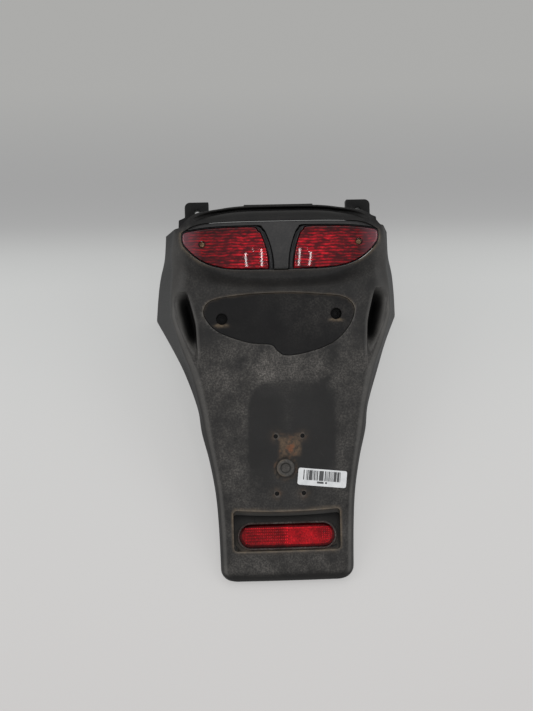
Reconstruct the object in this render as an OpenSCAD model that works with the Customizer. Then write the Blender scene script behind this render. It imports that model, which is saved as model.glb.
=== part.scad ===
// Rear fender of a scooter, lying open side down on its rim.
// Everything is drawn in the panel's own frame: x across, s up the panel
// from the tail tip, h outward from the panel. seat() then lays it down.

/* [Panel] */
// Slope of the plate panel when the fender lies on its rim
panel_slope = 25; // [20:1:30]
// Thickness of the moulded wall
wall = 3; // [2.4:0.1:3.4]
// Radius of the crown across the panel
crown_r = 900; // [750:50:1400]
// Length from the tail tip to the rim above the lamps
shell_l = 413; // [405:1:420]
// Half of the width at the tail
tail_half = 73; // [68:1:78]
// Half of the width where the plate is fixed
plate_half = 83.5; // [80:0.5:87]
// Half of the width at the narrow flank below the scoops
waist_half = 95; // [92:0.5:99]
// How far a pointed corner stands out past the lenses
corner_flare = 40.5; // [37:0.5:46]
// How far the upper end of a flank stands out past the lenses
shoulder_flare = 23; // [20:0.5:27]
// Distance of the pointed corners from the tail tip
corner_s = 293; // [288:1:298]
// Depth of the rolled lip round the tail
lip = 14; // [11:0.5:17]
// Radius of the rounded tail corners
tail_corner_r = 14; // [8:1:20]

/* [Lamp pod] */
// Height of the lamp pod above the panel
pod_h = 13.5; // [11:0.5:16]
// Half of the width over both lenses
lamp_half = 106; // [102:0.5:108]
// Lower edge of the lamp opening, below the rim
lamp_drop = 71; // [68:0.5:74]
// Height of a lens
lens_h = 45; // [43:0.5:47]
// How far a lens edge rises towards its outer end
lens_rise = 30; // [27:0.5:33]
// Height of the band above the lenses
brow_band = 4.5; // [3.5:0.5:6]
// Clearance round the lamp unit and between its pieces
fit_gap = 0.4; // [0.3:0.05:0.6]
// Thickness of a lens
lens_wall = 2.4; // [1.8:0.1:3]
// Radius of the lamp face across the fender
lamp_r = 620; // [560:10:700]
// Diameter of a lens screw's head
screw_head_d = 6.6; // [5.5:0.1:7.5]
// Distance of a lens screw from the outer end of its lens
screw_inset = 21; // [19:0.5:24]
// Distance of a bulb from the outer end of its lens
bulb_inset = 56; // [52:1:60]
// Diameter of a bulb
bulb_d = 17; // [15:0.5:18]

/* [Hatch] */
// Width of the hatch cover
hatch_w = 165; // [162:1:168]
// Length of the hatch cover along the panel
hatch_l = 68; // [66:0.5:70]
// Distance of the hatch cover from the lamp opening
hatch_drop = 26; // [25:0.5:28]
// Gap round the hatch cover
hatch_gap = 0.6; // [0.4:0.1:1]
// Width of the ledge that carries the hatch cover
hatch_ledge = 5; // [4:0.5:6]
// Thickness of the hatch cover
hatch_t = 2.7; // [2.2:0.1:3.2]
// Diameter of a screw well in the hatch cover
well_d = 12; // [10:0.5:13]
// Depth of a screw well
well_depth = 11; // [8:0.5:14]

/* [Side scoops] */
// Depth of a scoop below the panel
scoop_depth = 26; // [18:1:30]

/* [Plate fixings] */
// Diameter of a plate screw hole
plate_hole_d = 5; // [4:0.1:5.6]
// Distance between the two holes of a row
plate_pitch = 29.3; // [27:0.1:32]
// Middle of both rows, right of the centre line
plate_mid = 4.6; // [3:0.1:6]
// Distance of the lower row from the tail tip
plate_low_s = 97; // [95:0.5:100]
// Distance of the upper row from the tail tip
plate_high_s = 159.5; // [156:0.5:163]
// Distance of the round buffer from the tail tip
buffer_s = 125; // [121:0.5:129]
// Diameter of the round buffer
buffer_d = 20; // [17:0.5:22]

/* [Reflex reflector] */
// Length of the reflector
reflex_l = 108; // [100:1:111]
// Height of the reflector
reflex_w = 30; // [27:0.5:31]
// Half of the length of its pocket
pocket_half = 58.5; // [57.5:0.5:60]
// Lower edge of the pocket, from the tail tip
pocket_low_s = 34.5; // [33:0.5:36]
// Upper edge of the pocket, from the tail tip
pocket_high_s = 80; // [79:0.5:82]
// Depth of the pocket along its upper wall
pocket_depth = 16; // [14.5:0.5:17]
// Distance between the two studs of the reflector
stud_pitch = 70; // [60:1:76]
// Diameter of a stud
stud_d = 5; // [4:0.1:6]

/* [Mounting lugs] */
// Half of the distance between the lug holes
lug_half = 91; // [88:0.5:94]
// Diameter of a lug hole
lug_hole_d = 6.5; // [5.5:0.1:8]
// Thickness of a lug
lug_t = 16; // [12:1:20]
// Upper end of the lugs, from the tail tip
lug_s = 423; // [420:1:428]

/* [Hidden] */

lamp_s = shell_l - lamp_drop;
corner_half = lamp_half + corner_flare;
shoulder_half = lamp_half + shoulder_flare;
screw_half = lamp_half - screw_inset;
bulb_half = lamp_half - bulb_inset;
tail_roll = 12;
lug_top = 46;
corner_depth = (corner_s * sin(panel_slope) + lip * cos(panel_slope)) / cos(panel_slope);

function clamp(u) = max(0, min(1, u));
function smooth(u) = let (v = clamp(u)) v * v * (3 - 2 * v);
function crown(x) = sqrt(crown_r * crown_r - x * x) - crown_r;

// Slope of one column of a table at row i, and its eased value at s
function slope(t, i, c) =
    let (a = max(i - 1, 0), b = min(i + 1, len(t) - 1))
    (t[b][c] - t[a][c]) / (t[b][0] - t[a][0]);
function span(t, s, i = 0) = i >= len(t) - 2 || s < t[i + 1][0] ? i : span(t, s, i + 1);
function along(t, s, c) =
    let (i = span(t, s), d = t[i + 1][0] - t[i][0], u = clamp((s - t[i][0]) / d))
    (2 * u * u * u - 3 * u * u + 1) * t[i][c]
    + (u * u * u - 2 * u * u + u) * d * slope(t, i, c)
    + (3 * u * u - 2 * u * u * u) * t[i + 1][c]
    + (u * u * u - u * u) * d * slope(t, i + 1, c);

// Flank stations: [s, half-width where the edge starts to roll, edge radius,
// half-width of the rim, depth of the rim]
low_stations = [
    [0, tail_half - 10.5, 10, tail_half, lip],
    [60, tail_half - 9, 10, tail_half + 1.5, lip],
    [98, plate_half - 17, 10, plate_half - 6.2, lip + 1.5],
    [134, plate_half - 12, 11, plate_half, lip + 4],
    [164, waist_half - 19, 13, waist_half - 4, lip + 8],
    [190, waist_half - 15.5, 14, waist_half, lip + 14],
    [230, waist_half - 7, 15, waist_half + 14.5, lip + 33],
    [260, waist_half + 4, 15, corner_half - 20, corner_depth - 50],
    [corner_s, waist_half + 15, 14, corner_half, corner_depth]];
high_stations = [
    [corner_s, waist_half + 15, 14, corner_half, corner_depth],
    [318, waist_half + 11, 18, corner_half - 3.5, corner_depth - 18.5],
    [345, lamp_half - 7, 24, corner_half - 8, corner_depth - 35.5],
    [380, lamp_half - 9, 26, shoulder_half + 3.5, corner_depth - 50.5],
    [shell_l, lamp_half - 11, 24, shoulder_half, corner_depth - 68]];
function flank(s, c) = s < corner_s ? along(low_stations, s, c) : along(high_stations, s, c);

// Scoop stations: [s, inner edge, outer ridge, share of the full depth]
scoop_stations = [
    [0, tail_half - 18, tail_half - 11, 0],
    [134, plate_half - 20, plate_half - 13, 0],
    [200, waist_half - 14, waist_half - 10, 0],
    [236, waist_half - 2.5, waist_half + 1, 0],
    [256, waist_half - 1.5, waist_half + 8, 0.2],
    [264, waist_half - 1, waist_half + 11, 0.5],
    [272, waist_half - 0.5, waist_half + 14, 0.84],
    [284, waist_half + 0.5, waist_half + 19, 1],
    [300, waist_half + 4, waist_half + 23, 0.98],
    [310, waist_half + 6.5, waist_half + 24, 0.7],
    [316, waist_half + 8, waist_half + 24, 0.25],
    [320, waist_half + 8.5, waist_half + 22, 0],
    [345, lamp_half - 14, lamp_half - 5, 0],
    [shell_l, lamp_half - 20, lamp_half - 10, 0]];

// Lower and upper edge of the lenses at distance x from the centre line
function lens_low(x) = lamp_s + lens_rise * pow(abs(x) / lamp_half, 5);
function lens_high(x) = lamp_s + lens_h - 5 * pow(abs(x) / lamp_half, 6);

// Rows of the skin: [outer s, outer lift, inner s, inner lift]
tail_rows = [for (u = [0, 0.08, 0.25, 0.5, 1])
    let (up = lip * 0.75 * (sqrt(1 - (1 - u) * (1 - u)) - 1))
    [u * tail_roll, up, wall + u * (tail_roll - wall), up - wall * u]];
panel_rows = [for (s = [26, 45, 65, 88, 110, 132, 152, 172, 190, 205, 218, 230, 240, 249, 257,
    264, 270, 277, 285, corner_s, 300, 306, 311, 315, 319])
    [s, 0, s, -wall]];
pod_rows = [for (d = [-20, -17, -14, -11, -8, -4, 0, 9, 18, 27, 36, 44])
    [lamp_s + d, 0, lamp_s + d, -wall]];
// The brow rolls over behind the lenses into a groove, a rim and a back wall
brow_s = shell_l - 18;
brow_rows = [
    [brow_s, -1, brow_s - 0.5, -1 - wall],
    [brow_s + 4, -3, brow_s + 3, -3.5 - wall],
    [brow_s + 8, -7.5, brow_s + 5.5, -8 - wall],
    [brow_s + 11, -15, brow_s + 7.5, -16 - wall],
    [brow_s + 12, -23, brow_s + 8.5, -26 - wall],
    [brow_s + 12.5, -33, brow_s + 9.5, -33 - wall],
    [brow_s + 16, -33, brow_s + 11, -33.4 - wall],
    [brow_s + 16.3, -26, brow_s + 12, -33.8 - wall],
    [brow_s + 18.3, -26, brow_s + 13, -34.2 - wall],
    [brow_s + 19.3, -30, brow_s + 14, -34.6 - wall],
    [brow_s + 20, -44, brow_s + 17, -44],
    [brow_s + 21, -62, brow_s + 18, -62]];
rows = concat(tail_rows, panel_rows, pod_rows, brow_rows);
first_brow = len(tail_rows) + len(panel_rows) + len(pod_rows);

// Columns of one half: crown, scoop wall, scoop floor, edge roll, flank
crown_n = 7;
scoop_u = [0.07, 0.3, 0.55, 0.8, 1];
roll_n = 5;
flank_n = 4;
half_n = crown_n + len(scoop_u) + roll_n + flank_n;

// One row's section: [roll start, radius, rim half, rim depth, inner edge, ridge,
// scoop depth, roll centre x, roll centre h, flank angle]
function section(s) =
    let (shrink = s < tail_corner_r ?
             tail_corner_r - sqrt(tail_corner_r * tail_corner_r - pow(tail_corner_r - s, 2)) : 0,
         wa = flank(s, 1) - shrink, r = flank(s, 2), we = flank(s, 3) - shrink, de = flank(s, 4),
         tilt = asin(wa / crown_r),
         ox = wa - r * sin(tilt), oh = crown(wa) - r * cos(tilt),
         a = we - ox, b = de + oh)
    [wa, r, we, de, along(scoop_stations, s, 1) - shrink, along(scoop_stations, s, 2) - shrink,
     scoop_depth * clamp(along(scoop_stations, s, 3)), ox, oh,
     atan2(b, a) + asin(r / norm([a, b]))];

// Height and normal angle of a section at x, before the scoops
function section_at(p, x) =
    x <= p[0] ? [x, crown(x), asin(x / crown_r)] :
    let (q = asin(clamp((x - p[7]) / p[1]))) [x, p[8] + p[1] * cos(q), q];

// A point of a half section: [x, h, scoop share, lift share]
function half_point(p, j, in) =
    let (jr = j - crown_n - len(scoop_u), jf = jr - roll_n)
    j <= crown_n ?
        let (x = (p[4] - in) * j / crown_n, q = asin(x / crown_r))
        [x, crown(x) - in * cos(q), 0, 1] :
    jr <= 0 ?
        let (u = scoop_u[j - crown_n - 1], x = p[4] + (p[5] - p[4]) * u, g = section_at(p, x))
        [x - in * max(1 - u, sin(g[2])), g[1] - in * (1 + (u < 1 ? 0.6 * p[6] / scoop_depth : 0)),
         pow(cos(90 * (u - scoop_u[0]) / (1 - scoop_u[0])), 1.6), 1] :
    jf <= 0 ?
        let (q0 = section_at(p, max(p[5], p[0]))[2], q = q0 + (p[9] - q0) * jr / roll_n)
        [p[7] + (p[1] - in) * sin(q), p[8] + (p[1] - in) * cos(q), 0, 1 - 0.4 * jr / roll_n] :
        let (v = jf / flank_n,
             tx = p[7] + (p[1] - in) * sin(p[9]), th = p[8] + (p[1] - in) * cos(p[9]))
        [tx + (p[2] - in / sin(p[9]) - tx) * v, th + (-p[3] - th) * v, 0, 0.6 * (1 - v)];

// Rise of the pod's lower face, which fades into the shoulders
function pod(x, s) =
    let (w = min(abs(x), lamp_half) / lamp_half, foot = lamp_s - 23 + 22 * pow(w, 4))
    pod_h * smooth((s - foot) / (13 + 16 * pow(w, 3)));

// Rows bow down towards the shoulders near the lamps
function bow(x, s) = 5.2 * pow(min(abs(x), 110) / 75, 4.3) * smooth((s - 325) / (shell_l - 325));

function skin_point(i, j, in) =
    let (row = rows[i], s0 = in > 0 ? row[2] : row[0], lift = in > 0 ? row[3] + wall : row[1],
         p = section(s0), q = half_point(p, abs(j), i < len(tail_rows) ? in * i / 4 : in),
         x = sign(j) * q[0], s = s0 - bow(x, row[0]),
         brow = i < first_brow ? 0 : 1 - smooth((abs(x) - 62) / 36),
         end = i < len(tail_rows) ? 1 : brow)
    [x, s, max(q[1] - p[6] * q[2] + pod(x, s - in * 0.7) * q[3] + lift * end * q[3], -p[3])];

module skin() {
    n = 2 * half_n + 1;
    m = len(rows);
    outer = [for (i = [0:m - 1], j = [-half_n:half_n]) skin_point(i, j, 0)];
    inner = [for (i = [0:m - 1], j = [-half_n:half_n]) skin_point(i, j, wall)];
    k = m * n;
    quads = [for (i = [0:m - 2], j = [0:n - 2]) [i * n + j, i * n + j + 1, (i + 1) * n + j + 1, (i + 1) * n + j]];
    faces = concat(
        [for (f = quads) each [[f[0], f[3], f[2]], [f[0], f[2], f[1]]]],
        [for (f = quads) each [[k + f[0], k + f[2], k + f[3]], [k + f[0], k + f[1], k + f[2]]]],
        [for (j = [0:n - 2]) each [[j, j + 1, k + j + 1], [j, k + j + 1, k + j]]],
        [for (j = [0:n - 2]) let (a = (m - 1) * n + j)
            each [[a, k + a, k + a + 1], [a, k + a + 1, a + 1]]],
        [for (i = [0:m - 2]) let (a = i * n)
            each [[a, k + a, k + a + n], [a, k + a + n, a + n]]],
        [for (i = [0:m - 2]) let (a = i * n + n - 1)
            each [[a, k + a + n, k + a], [a, a + n, k + a + n]]]);
    polyhedron(concat(outer, inner), faces);
}

// Lays the panel frame down on the tail lip and the two pointed corners, and
// puts the origin below the middle of the whole fender
front_y = min([for (r = tail_rows) r[0] * cos(panel_slope) - r[1] * sin(panel_slope)]);
back_y = lug_s * cos(panel_slope) + (lug_top + lug_t) * sin(panel_slope);
module seat() {
    translate([0, -(front_y + back_y) / 2, lip * cos(panel_slope)]) rotate([panel_slope, 0, 0]) children();
}

// Closed smooth curve through the points p, with n steps between each two
function curve(p, n) = [for (i = [0:len(p) - 1], k = [0:n - 1])
    let (m = len(p), a = p[(i + m - 1) % m], b = p[i], c = p[(i + 1) % m], d = p[(i + 2) % m], u = k / n)
    b + (c - a) * (u / 2) + (2 * a - 5 * b + 4 * c - d) * (u * u / 2)
    + (3 * b - a - 3 * c + d) * (u * u * u / 2)];
// A closed outline, drawn clockwise, moved outward by g
function grow(p, g) = [for (i = [0:len(p) - 1])
    let (m = len(p), d = p[(i + 1) % m] - p[(i + m - 1) % m])
    p[i] + g * [-d[1], d[0]] / norm(d)];
module prism(p, from, to) {
    translate([0, 0, from]) linear_extrude(to - from) polygon(p);
}
// Everything below the crown, lowered by d
module under_crown(d) {
    translate([0, -20, -crown_r]) rotate([-90, 0, 0]) cylinder(r = crown_r - d, h = shell_l + 40, $fn = 720);
}

// Hatch outline, clockwise from its left tip, and its two screw wells, as shares
// of its width and length from the middle of its upper edge
hatch_top = lamp_s - hatch_drop;
function on_hatch(p) = [for (q = p) [q[0] * hatch_w, hatch_top + q[1] * hatch_l]];
hatch_outline = curve(on_hatch([[-0.517, -0.268], [-0.456, -0.096], [-0.242, -0.021], [0.035, -0.001], [0.273, -0.038], [0.418, -0.091],
    [0.482, -0.265], [0.447, -0.543], [0.338, -0.807], [0.17, -0.956], [0.024, -1.001],
    [-0.035, -0.926], [-0.079, -0.826], [-0.224, -0.785], [-0.404, -0.628], [-0.485, -0.462]]), 4);
hatch_wells = on_hatch([[-0.398, -0.403], [0.361, -0.351]]);
well_wall = 1.5;
boss_wall = 2.4;

// Wedge-shaped pocket: its floor falls towards the upper wall
pocket_lip = 3;
pocket_draft = 6.5;
pocket_run = pocket_high_s - pocket_draft - pocket_low_s;
pocket_tilt = atan((pocket_depth - pocket_lip) / pocket_run);

module hatch_frame() {
    difference() {
        intersection() {
            difference() {
                under_crown(wall - 0.4);
                under_crown(wall + hatch_gap + 3);
            }
            prism(grow(hatch_outline, 4), -30, 10);
        }
        difference() {
            prism(grow(hatch_outline, hatch_gap), -30, 10);
            under_crown(hatch_t + 0.3);
        }
        difference() {
            prism(grow(hatch_outline, -hatch_ledge), -30, 10);
            for (w = hatch_wells) translate([w[0], w[1], -30]) cylinder(r = well_d + 7, h = 40, $fn = 64);
        }
    }
    for (w = hatch_wells) translate([w[0], w[1], -well_depth - 16])
        cylinder(d = well_d + 2 * (well_wall + fit_gap + boss_wall), h = 16 + well_depth - hatch_t - 3.4, $fn = 64);
}

// Height of the pocket's floor at s
function pocket_floor(s) = -pocket_lip - (s - pocket_low_s) * tan(pocket_tilt);

module pocket_body() {
    low = pocket_low_s - wall;
    high = pocket_high_s - pocket_draft + 1;
    under = wall / cos(pocket_tilt);
    top = 0.5 - wall;
    translate([pocket_half + wall, 0, 0]) rotate([90, 0, -90]) linear_extrude(2 * (pocket_half + wall))
        polygon([[-low + 0.5, top], [-low, pocket_floor(low) - under],
            [-high, pocket_floor(high) - under], [-pocket_high_s - wall, top]]);
}

module pocket_cut() {
    translate([pocket_half, 0, 0]) rotate([90, 0, -90]) linear_extrude(2 * pocket_half)
        polygon([[-pocket_low_s, 5], [-pocket_low_s, -pocket_lip],
            [-pocket_high_s + pocket_draft, -pocket_depth], [-pocket_high_s, 0], [-pocket_high_s, 5]]);
}

// Places a child on the floor of the pocket, square to it
module on_pocket_floor() {
    translate([0, pocket_low_s, -pocket_lip]) rotate([-pocket_tilt, 0, 0]) children();
}

// Mounting lug at the right upper corner
module lug() {
    difference() {
        translate([0, 0, -lug_top - lug_t]) linear_extrude(lug_t) polygon([
            [lug_half - 13, lug_s], [lug_half + 8, lug_s],
            for (q = [0:15:90]) [lug_half + 8 + 6 * sin(q), lug_s - 6 + 6 * cos(q)],
            [lug_half + 14, lug_s - 17], [lug_half + 21, lug_s - 20], [lug_half + 22, lug_s - 38],
            [shoulder_half - 4.6, lug_s - 50], [shoulder_half - 4.6, lug_s - 66],
            [shoulder_half - 12, lug_s - 66], [lug_half + 10, lug_s - 44], [lug_half - 13, lug_s - 24]]);
        translate([lug_half, lug_s - 12, -90]) cylinder(d = lug_hole_d, h = 60, $fn = 32);
    }
}

module fender_shell() {
    color("#2b2b2c") seat() difference() {
        union() {
            difference() {
                skin();
                prism(grow(hatch_outline, hatch_gap), -20, 20);
                prism(lamp_outline(lamp_gap), -8, 40);
            }
            hatch_frame();
            pocket_body();
            for (m = [0, 1]) mirror([m, 0, 0]) lug();
            translate([-38.5, shell_l - 3, -30]) cube([77, 6.5, 3.2]);
        }
        pocket_cut();
        for (w = hatch_wells) translate([w[0], w[1], 0]) {
            translate([0, 0, -well_depth - 2 - fit_gap])
                cylinder(d = well_d + 2 * (well_wall + fit_gap), h = 40, $fn = 64);
            translate([0, 0, -well_depth - 20]) cylinder(d = 4.2, h = 30, $fn = 32);
        }
        for (x = [-1, 1]) {
            for (s = [plate_low_s, plate_high_s]) translate([plate_mid + x * plate_pitch / 2, s, -20])
                cylinder(d = plate_hole_d, h = 40, $fn = 32);
            on_pocket_floor() translate([x * stud_pitch / 2, reflex_w / 2 + 0.5, -20])
                cylinder(d = stud_d + 0.6, h = 30, $fn = 32);
        }
        translate([0, buffer_s, -20]) cylinder(d = buffer_d * 0.55 + 0.6, h = 40, $fn = 48);
    }
}

// Lamp unit. The lens face is a drum, lamp_r round across and bulged along s
lamp_mid = lamp_s + lens_h / 2;
lamp_top = pod_h + 3;
lamp_seat = 2;
lamp_back = -16;
seal_w = 1.2;
bar_half = 7.6;
lens_bar_gap = 6.4;
lamp_gap = seal_w + 2 * fit_gap;
screw_s = lamp_mid + 5;

module under_lamp_face(d) {
    translate([0, lamp_mid, lamp_top - lamp_r]) rotate([-90, 0, 0]) rotate_extrude($fn = 720)
        polygon([[0, -48], for (v = [-48:8:48]) [lamp_r - d - 4.5 * v * v / 784, v], [0, 48]]);
}

// Inner edge of a lens at s, and the outline of a lens, grown by g, or gi beside the bar
function lens_inner(s) = bar_half + lens_bar_gap + 11 * pow(clamp((s - lamp_s) / lens_h), 2);
function right_lens(g, gi) = let (top = lamp_s + lens_h) [
    for (s = [lamp_s - g, lamp_s + 9, lamp_s + 18, lamp_s + 27, lamp_s + 36, top - 6.5]) [lens_inner(s) - gi, s],
    [lens_inner(top) + 0.5 - gi, top - 2.5 + g * 0.4],
    [lens_inner(top) + 3 - gi * 0.5, top - 0.5 + g * 0.9],
    for (w = [0.32, 0.45, 0.6, 0.75, 0.87, 0.95]) [w * lamp_half, lens_high(w * lamp_half) + g],
    [lamp_half + g * (g > 0 ? 0.7 : 1.2), lens_high(lamp_half) + g * (g > 0 ? 0.7 : 1.1)],
    [lamp_half + g, lens_high(lamp_half) - 2 + 0.9 * min(0, g)],
    [lamp_half + g, lens_low(lamp_half) + 2],
    for (w = [0.985, 0.96, 0.92, 0.87, 0.8, 0.7, 0.6, 0.45, 0.3])
        let (x = w * lamp_half, q = atan(5 * lens_rise / lamp_half * pow(w, 4)))
        [x + g * sin(q), lens_low(x) - g * cos(q)]];
function mirrored(p) = [for (i = [len(p) - 1:-1:0]) [-p[i][0], p[i][1]]];
function lens_outline(side, g, gi) = side > 0 ? right_lens(g, gi) : mirrored(right_lens(g, gi));

// Outline of both lenses and the band above them, grown by g
function half_lamp(g) = [
    for (w = [0, 0.2, 0.4, 0.6, 0.8]) [w * lamp_half, lens_high(w * lamp_half) + brow_band + g],
    [0.88 * lamp_half, lens_high(0.88 * lamp_half) + brow_band * 0.8 + g],
    [0.95 * lamp_half, lens_high(0.95 * lamp_half) + brow_band * 0.4 + g],
    [lamp_half + g * 0.7, lens_high(lamp_half) + g * 0.7], [lamp_half + g, lens_high(lamp_half) - 2],
    [lamp_half + g, lens_low(lamp_half) + 2],
    for (w = [0.985, 0.96, 0.92, 0.87, 0.8, 0.7, 0.6, 0.45, 0.3, 0.15])
        let (x = w * lamp_half, q = atan(5 * lens_rise / lamp_half * pow(w, 4)))
        [x + g * sin(q), lens_low(x) - g * cos(q)]];
function lamp_outline(g) = concat(half_lamp(g), [[0, lamp_s - g]],
    [for (p = mirrored(half_lamp(g))) if (p[0] < 0) p]);

// T-shaped bar between the lenses with the band above them
function half_bezel() = let (g = seal_w + 2 * fit_gap, top = lamp_s + lens_h) [
    for (w = [0, 0.2, 0.4, 0.6, 0.8]) [w * lamp_half, lens_high(w * lamp_half) + brow_band],
    [0.88 * lamp_half, lens_high(0.88 * lamp_half) + brow_band * 0.8],
    [0.94 * lamp_half, lens_high(0.94 * lamp_half) + g + 0.4],
    for (w = [0.94, 0.85, 0.7, 0.55, 0.4, 0.3]) [w * lamp_half, lens_high(w * lamp_half) + g],
    [lens_inner(top) - lens_bar_gap + 3, top + g], [lens_inner(top) - lens_bar_gap, top - 1],
    for (d = [38, 28, 18, 8, 0]) [lens_inner(lamp_s + d) - lens_bar_gap, lamp_s + d]];

module lamp_bezel() {
    color("#4a4a4b") seat() difference() {
        intersection() {
            prism(concat(half_bezel(), [for (p = mirrored(half_bezel())) if (p[0] < 0) p]), lamp_seat, 40);
            under_lamp_face(0.3);
        }
        intersection() {
            prism([[-5.5, lamp_s + 2], [-13, lamp_s + lens_h - 6], [13, lamp_s + lens_h - 6], [5.5, lamp_s + 2]], 0, 40);
            under_lamp_face(2.8);
        }
    }
}

module lens(side) {
    color("#b01018") seat() difference() {
        union() {
            difference() {
                intersection() {
                    prism(lens_outline(side, 0, 0), lamp_seat, 40);
                    under_lamp_face(0);
                }
                intersection() {
                    prism(lens_outline(side, -lens_wall, -lens_wall), 0, 40);
                    under_lamp_face(lens_wall);
                }
            }
            intersection() {
                translate([side * screw_half, screw_s, lamp_seat]) cylinder(d = screw_head_d + 4.4, h = 40, $fn = 48);
                under_lamp_face(0.2);
            }
        }
        translate([side * screw_half, screw_s, lamp_seat + 2]) cylinder(d = screw_head_d + 1.4, h = 40, $fn = 48);
        translate([side * screw_half, screw_s, -5]) cylinder(d = 4.4, h = 40, $fn = 32);
    }
}
module lens_left() { lens(-1); }
module lens_right() { lens(1); }

module lens_seal(side) {
    color("#161617") seat() difference() {
        intersection() {
            prism(lens_outline(side, seal_w + fit_gap, lens_bar_gap - fit_gap), lamp_seat, 40);
            under_lamp_face(1.4);
        }
        prism(lens_outline(side, fit_gap, fit_gap), 0, 40);
    }
}
module lens_seal_left() { lens_seal(-1); }
module lens_seal_right() { lens_seal(1); }

module lamp_housing() {
    color("#1d1d1e") seat() difference() {
        union() {
            difference() {
                prism(lamp_outline(lamp_gap - fit_gap), lamp_back, lamp_seat - 0.2);
                for (side = [-1, 1]) prism(lens_outline(side, -3, -3), lamp_back + 2.5, 20);
                prism([[-9, lamp_s + 3], [-16, lamp_s + lens_h - 4], [16, lamp_s + lens_h - 4], [9, lamp_s + 3]],
                    lamp_back - 5, lamp_seat - 3);
            }
            for (side = [-1, 1]) translate([side * screw_half, screw_s, lamp_back])
                cylinder(d = 9.5, h = lamp_seat - 0.2 - lamp_back, $fn = 40);
        }
        for (side = [-1, 1]) {
            translate([side * screw_half, screw_s, lamp_back + 3]) cylinder(d = 4, h = 40, $fn = 32);
            translate([side * bulb_half, lamp_mid, lamp_back - 5]) cylinder(d = bulb_d + 1, h = 20, $fn = 48);
        }
    }
}

bowl_r = lens_h / 2 - 6;
bowl_floor = lamp_back + 4;
module bowl_cone(d, top) {
    translate([0, 0, bowl_floor - d]) cylinder(r1 = bulb_d / 2 + 0.5 + d, r2 = bowl_r + d, h = top - bowl_floor + d, $fn = 96);
}
module reflector_bowl(side) {
    color("#c9cacc") seat() difference() {
        union() {
            prism(lens_outline(side, -3.5, -3.5), lamp_seat - 3.4, lamp_seat - 2);
            translate([side * bulb_half, lamp_mid, 0]) bowl_cone(1.2, lamp_seat - 2.7);
        }
        translate([side * screw_half, screw_s, -30]) cylinder(d = 10.3, h = 60, $fn = 48);
        translate([side * bulb_half, lamp_mid, 0]) bowl_cone(0, lamp_seat - 1);
        translate([side * bulb_half, lamp_mid, lamp_back - 4]) cylinder(d = bulb_d, h = 12, $fn = 48);
    }
}
module reflector_bowl_left() { reflector_bowl(-1); }
module reflector_bowl_right() { reflector_bowl(1); }

module bulb(side) {
    r = bulb_d / 2;
    color("#e8e2d0") seat() translate([side * bulb_half, lamp_mid, lamp_back]) rotate_extrude($fn = 48)
        polygon([[0, -16], [r - 4.5, -16], [r - 2, -14], [r - 2, 5], [r - 2.5, 7],
            for (q = [-40:20:80]) [r * cos(q), 5 + r * (1 + sin(q))], [0, 5 + 2 * r]]);
}
module bulb_left() { bulb(-1); }
module bulb_right() { bulb(1); }

module bulb_holder(side) {
    r = bulb_d / 2;
    color("#3a3a3c") seat() translate([side * bulb_half, lamp_mid, lamp_back]) rotate_extrude($fn = 64)
        polygon([[r - 1.7, 2], [r + 0.1, 2], [r + 0.1, -0.3], [r + 4, -0.3], [r + 4, -3], [r + 1, -3], [r + 1, -20],
            [0, -20], [0, -16.3], [r - 1.7, -16.3]]);
}
module bulb_holder_left() { bulb_holder(-1); }
module bulb_holder_right() { bulb_holder(1); }

module lens_screws() {
    color("#a58c6a") seat() for (side = [-1, 1]) translate([side * screw_half, screw_s, lamp_seat + 2.2])
        difference() {
            rotate_extrude($fn = 48) polygon([[0, -13], [1.2, -13], [1.8, -12], [1.8, 0], [screw_head_d / 2, 0],
                [screw_head_d / 2, 0.9], [screw_head_d / 2 - 0.8, 1.9], [0, 2.4]]);
            translate([-2, -0.5, 1.2]) cube([4, 1, 2]);
            translate([-0.5, -2, 1.2]) cube([1, 4, 2]);
        }
}

module hatch_cover() {
    color("#303031") seat() difference() {
        union() {
            difference() {
                intersection() {
                    prism(hatch_outline, -20, 20);
                    under_crown(0);
                }
                under_crown(hatch_t);
            }
            for (w = hatch_wells) translate([w[0], w[1], -well_depth - 2])
                cylinder(d = well_d + 2 * well_wall, h = well_depth - 1.6, $fn = 64);
        }
        for (w = hatch_wells) translate([w[0], w[1], 0]) {
            translate([0, 0, -well_depth]) cylinder(d = well_d, h = 30, $fn = 64);
            translate([0, 0, -30]) cylinder(d = 5, h = 40, $fn = 32);
        }
    }
}

module plate_buffer() {
    r = buffer_d / 2;
    color("#39352f") seat() translate([0, buffer_s, 0]) rotate_extrude($fn = 64)
        polygon([[0, -7], [r * 0.5, -7], [r * 0.68, -4.4], [r * 0.68, -wall - 0.1], [r * 0.55, -wall - 0.1],
            [r * 0.55, 0.1], [r, 0.1], [r, 1.4], [r - 0.8, 2.2], [r * 0.55, 2.2], [r * 0.44, 1], [0, 1]]);
}

// Stadium outline, l long and w high, with its lower edge on y = 0
module stadium(l, w, h) {
    translate([0, w / 2, 0]) {
        translate([-(l - w) / 2, -w / 2, 0]) cube([l - w, w, h]);
        for (x = [-1, 1]) translate([x * (l - w) / 2, 0, 0]) cylinder(d = w, h = h, $fn = 64);
    }
}
reflex_rim = 2;
reflex_base_t = 3;

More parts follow.
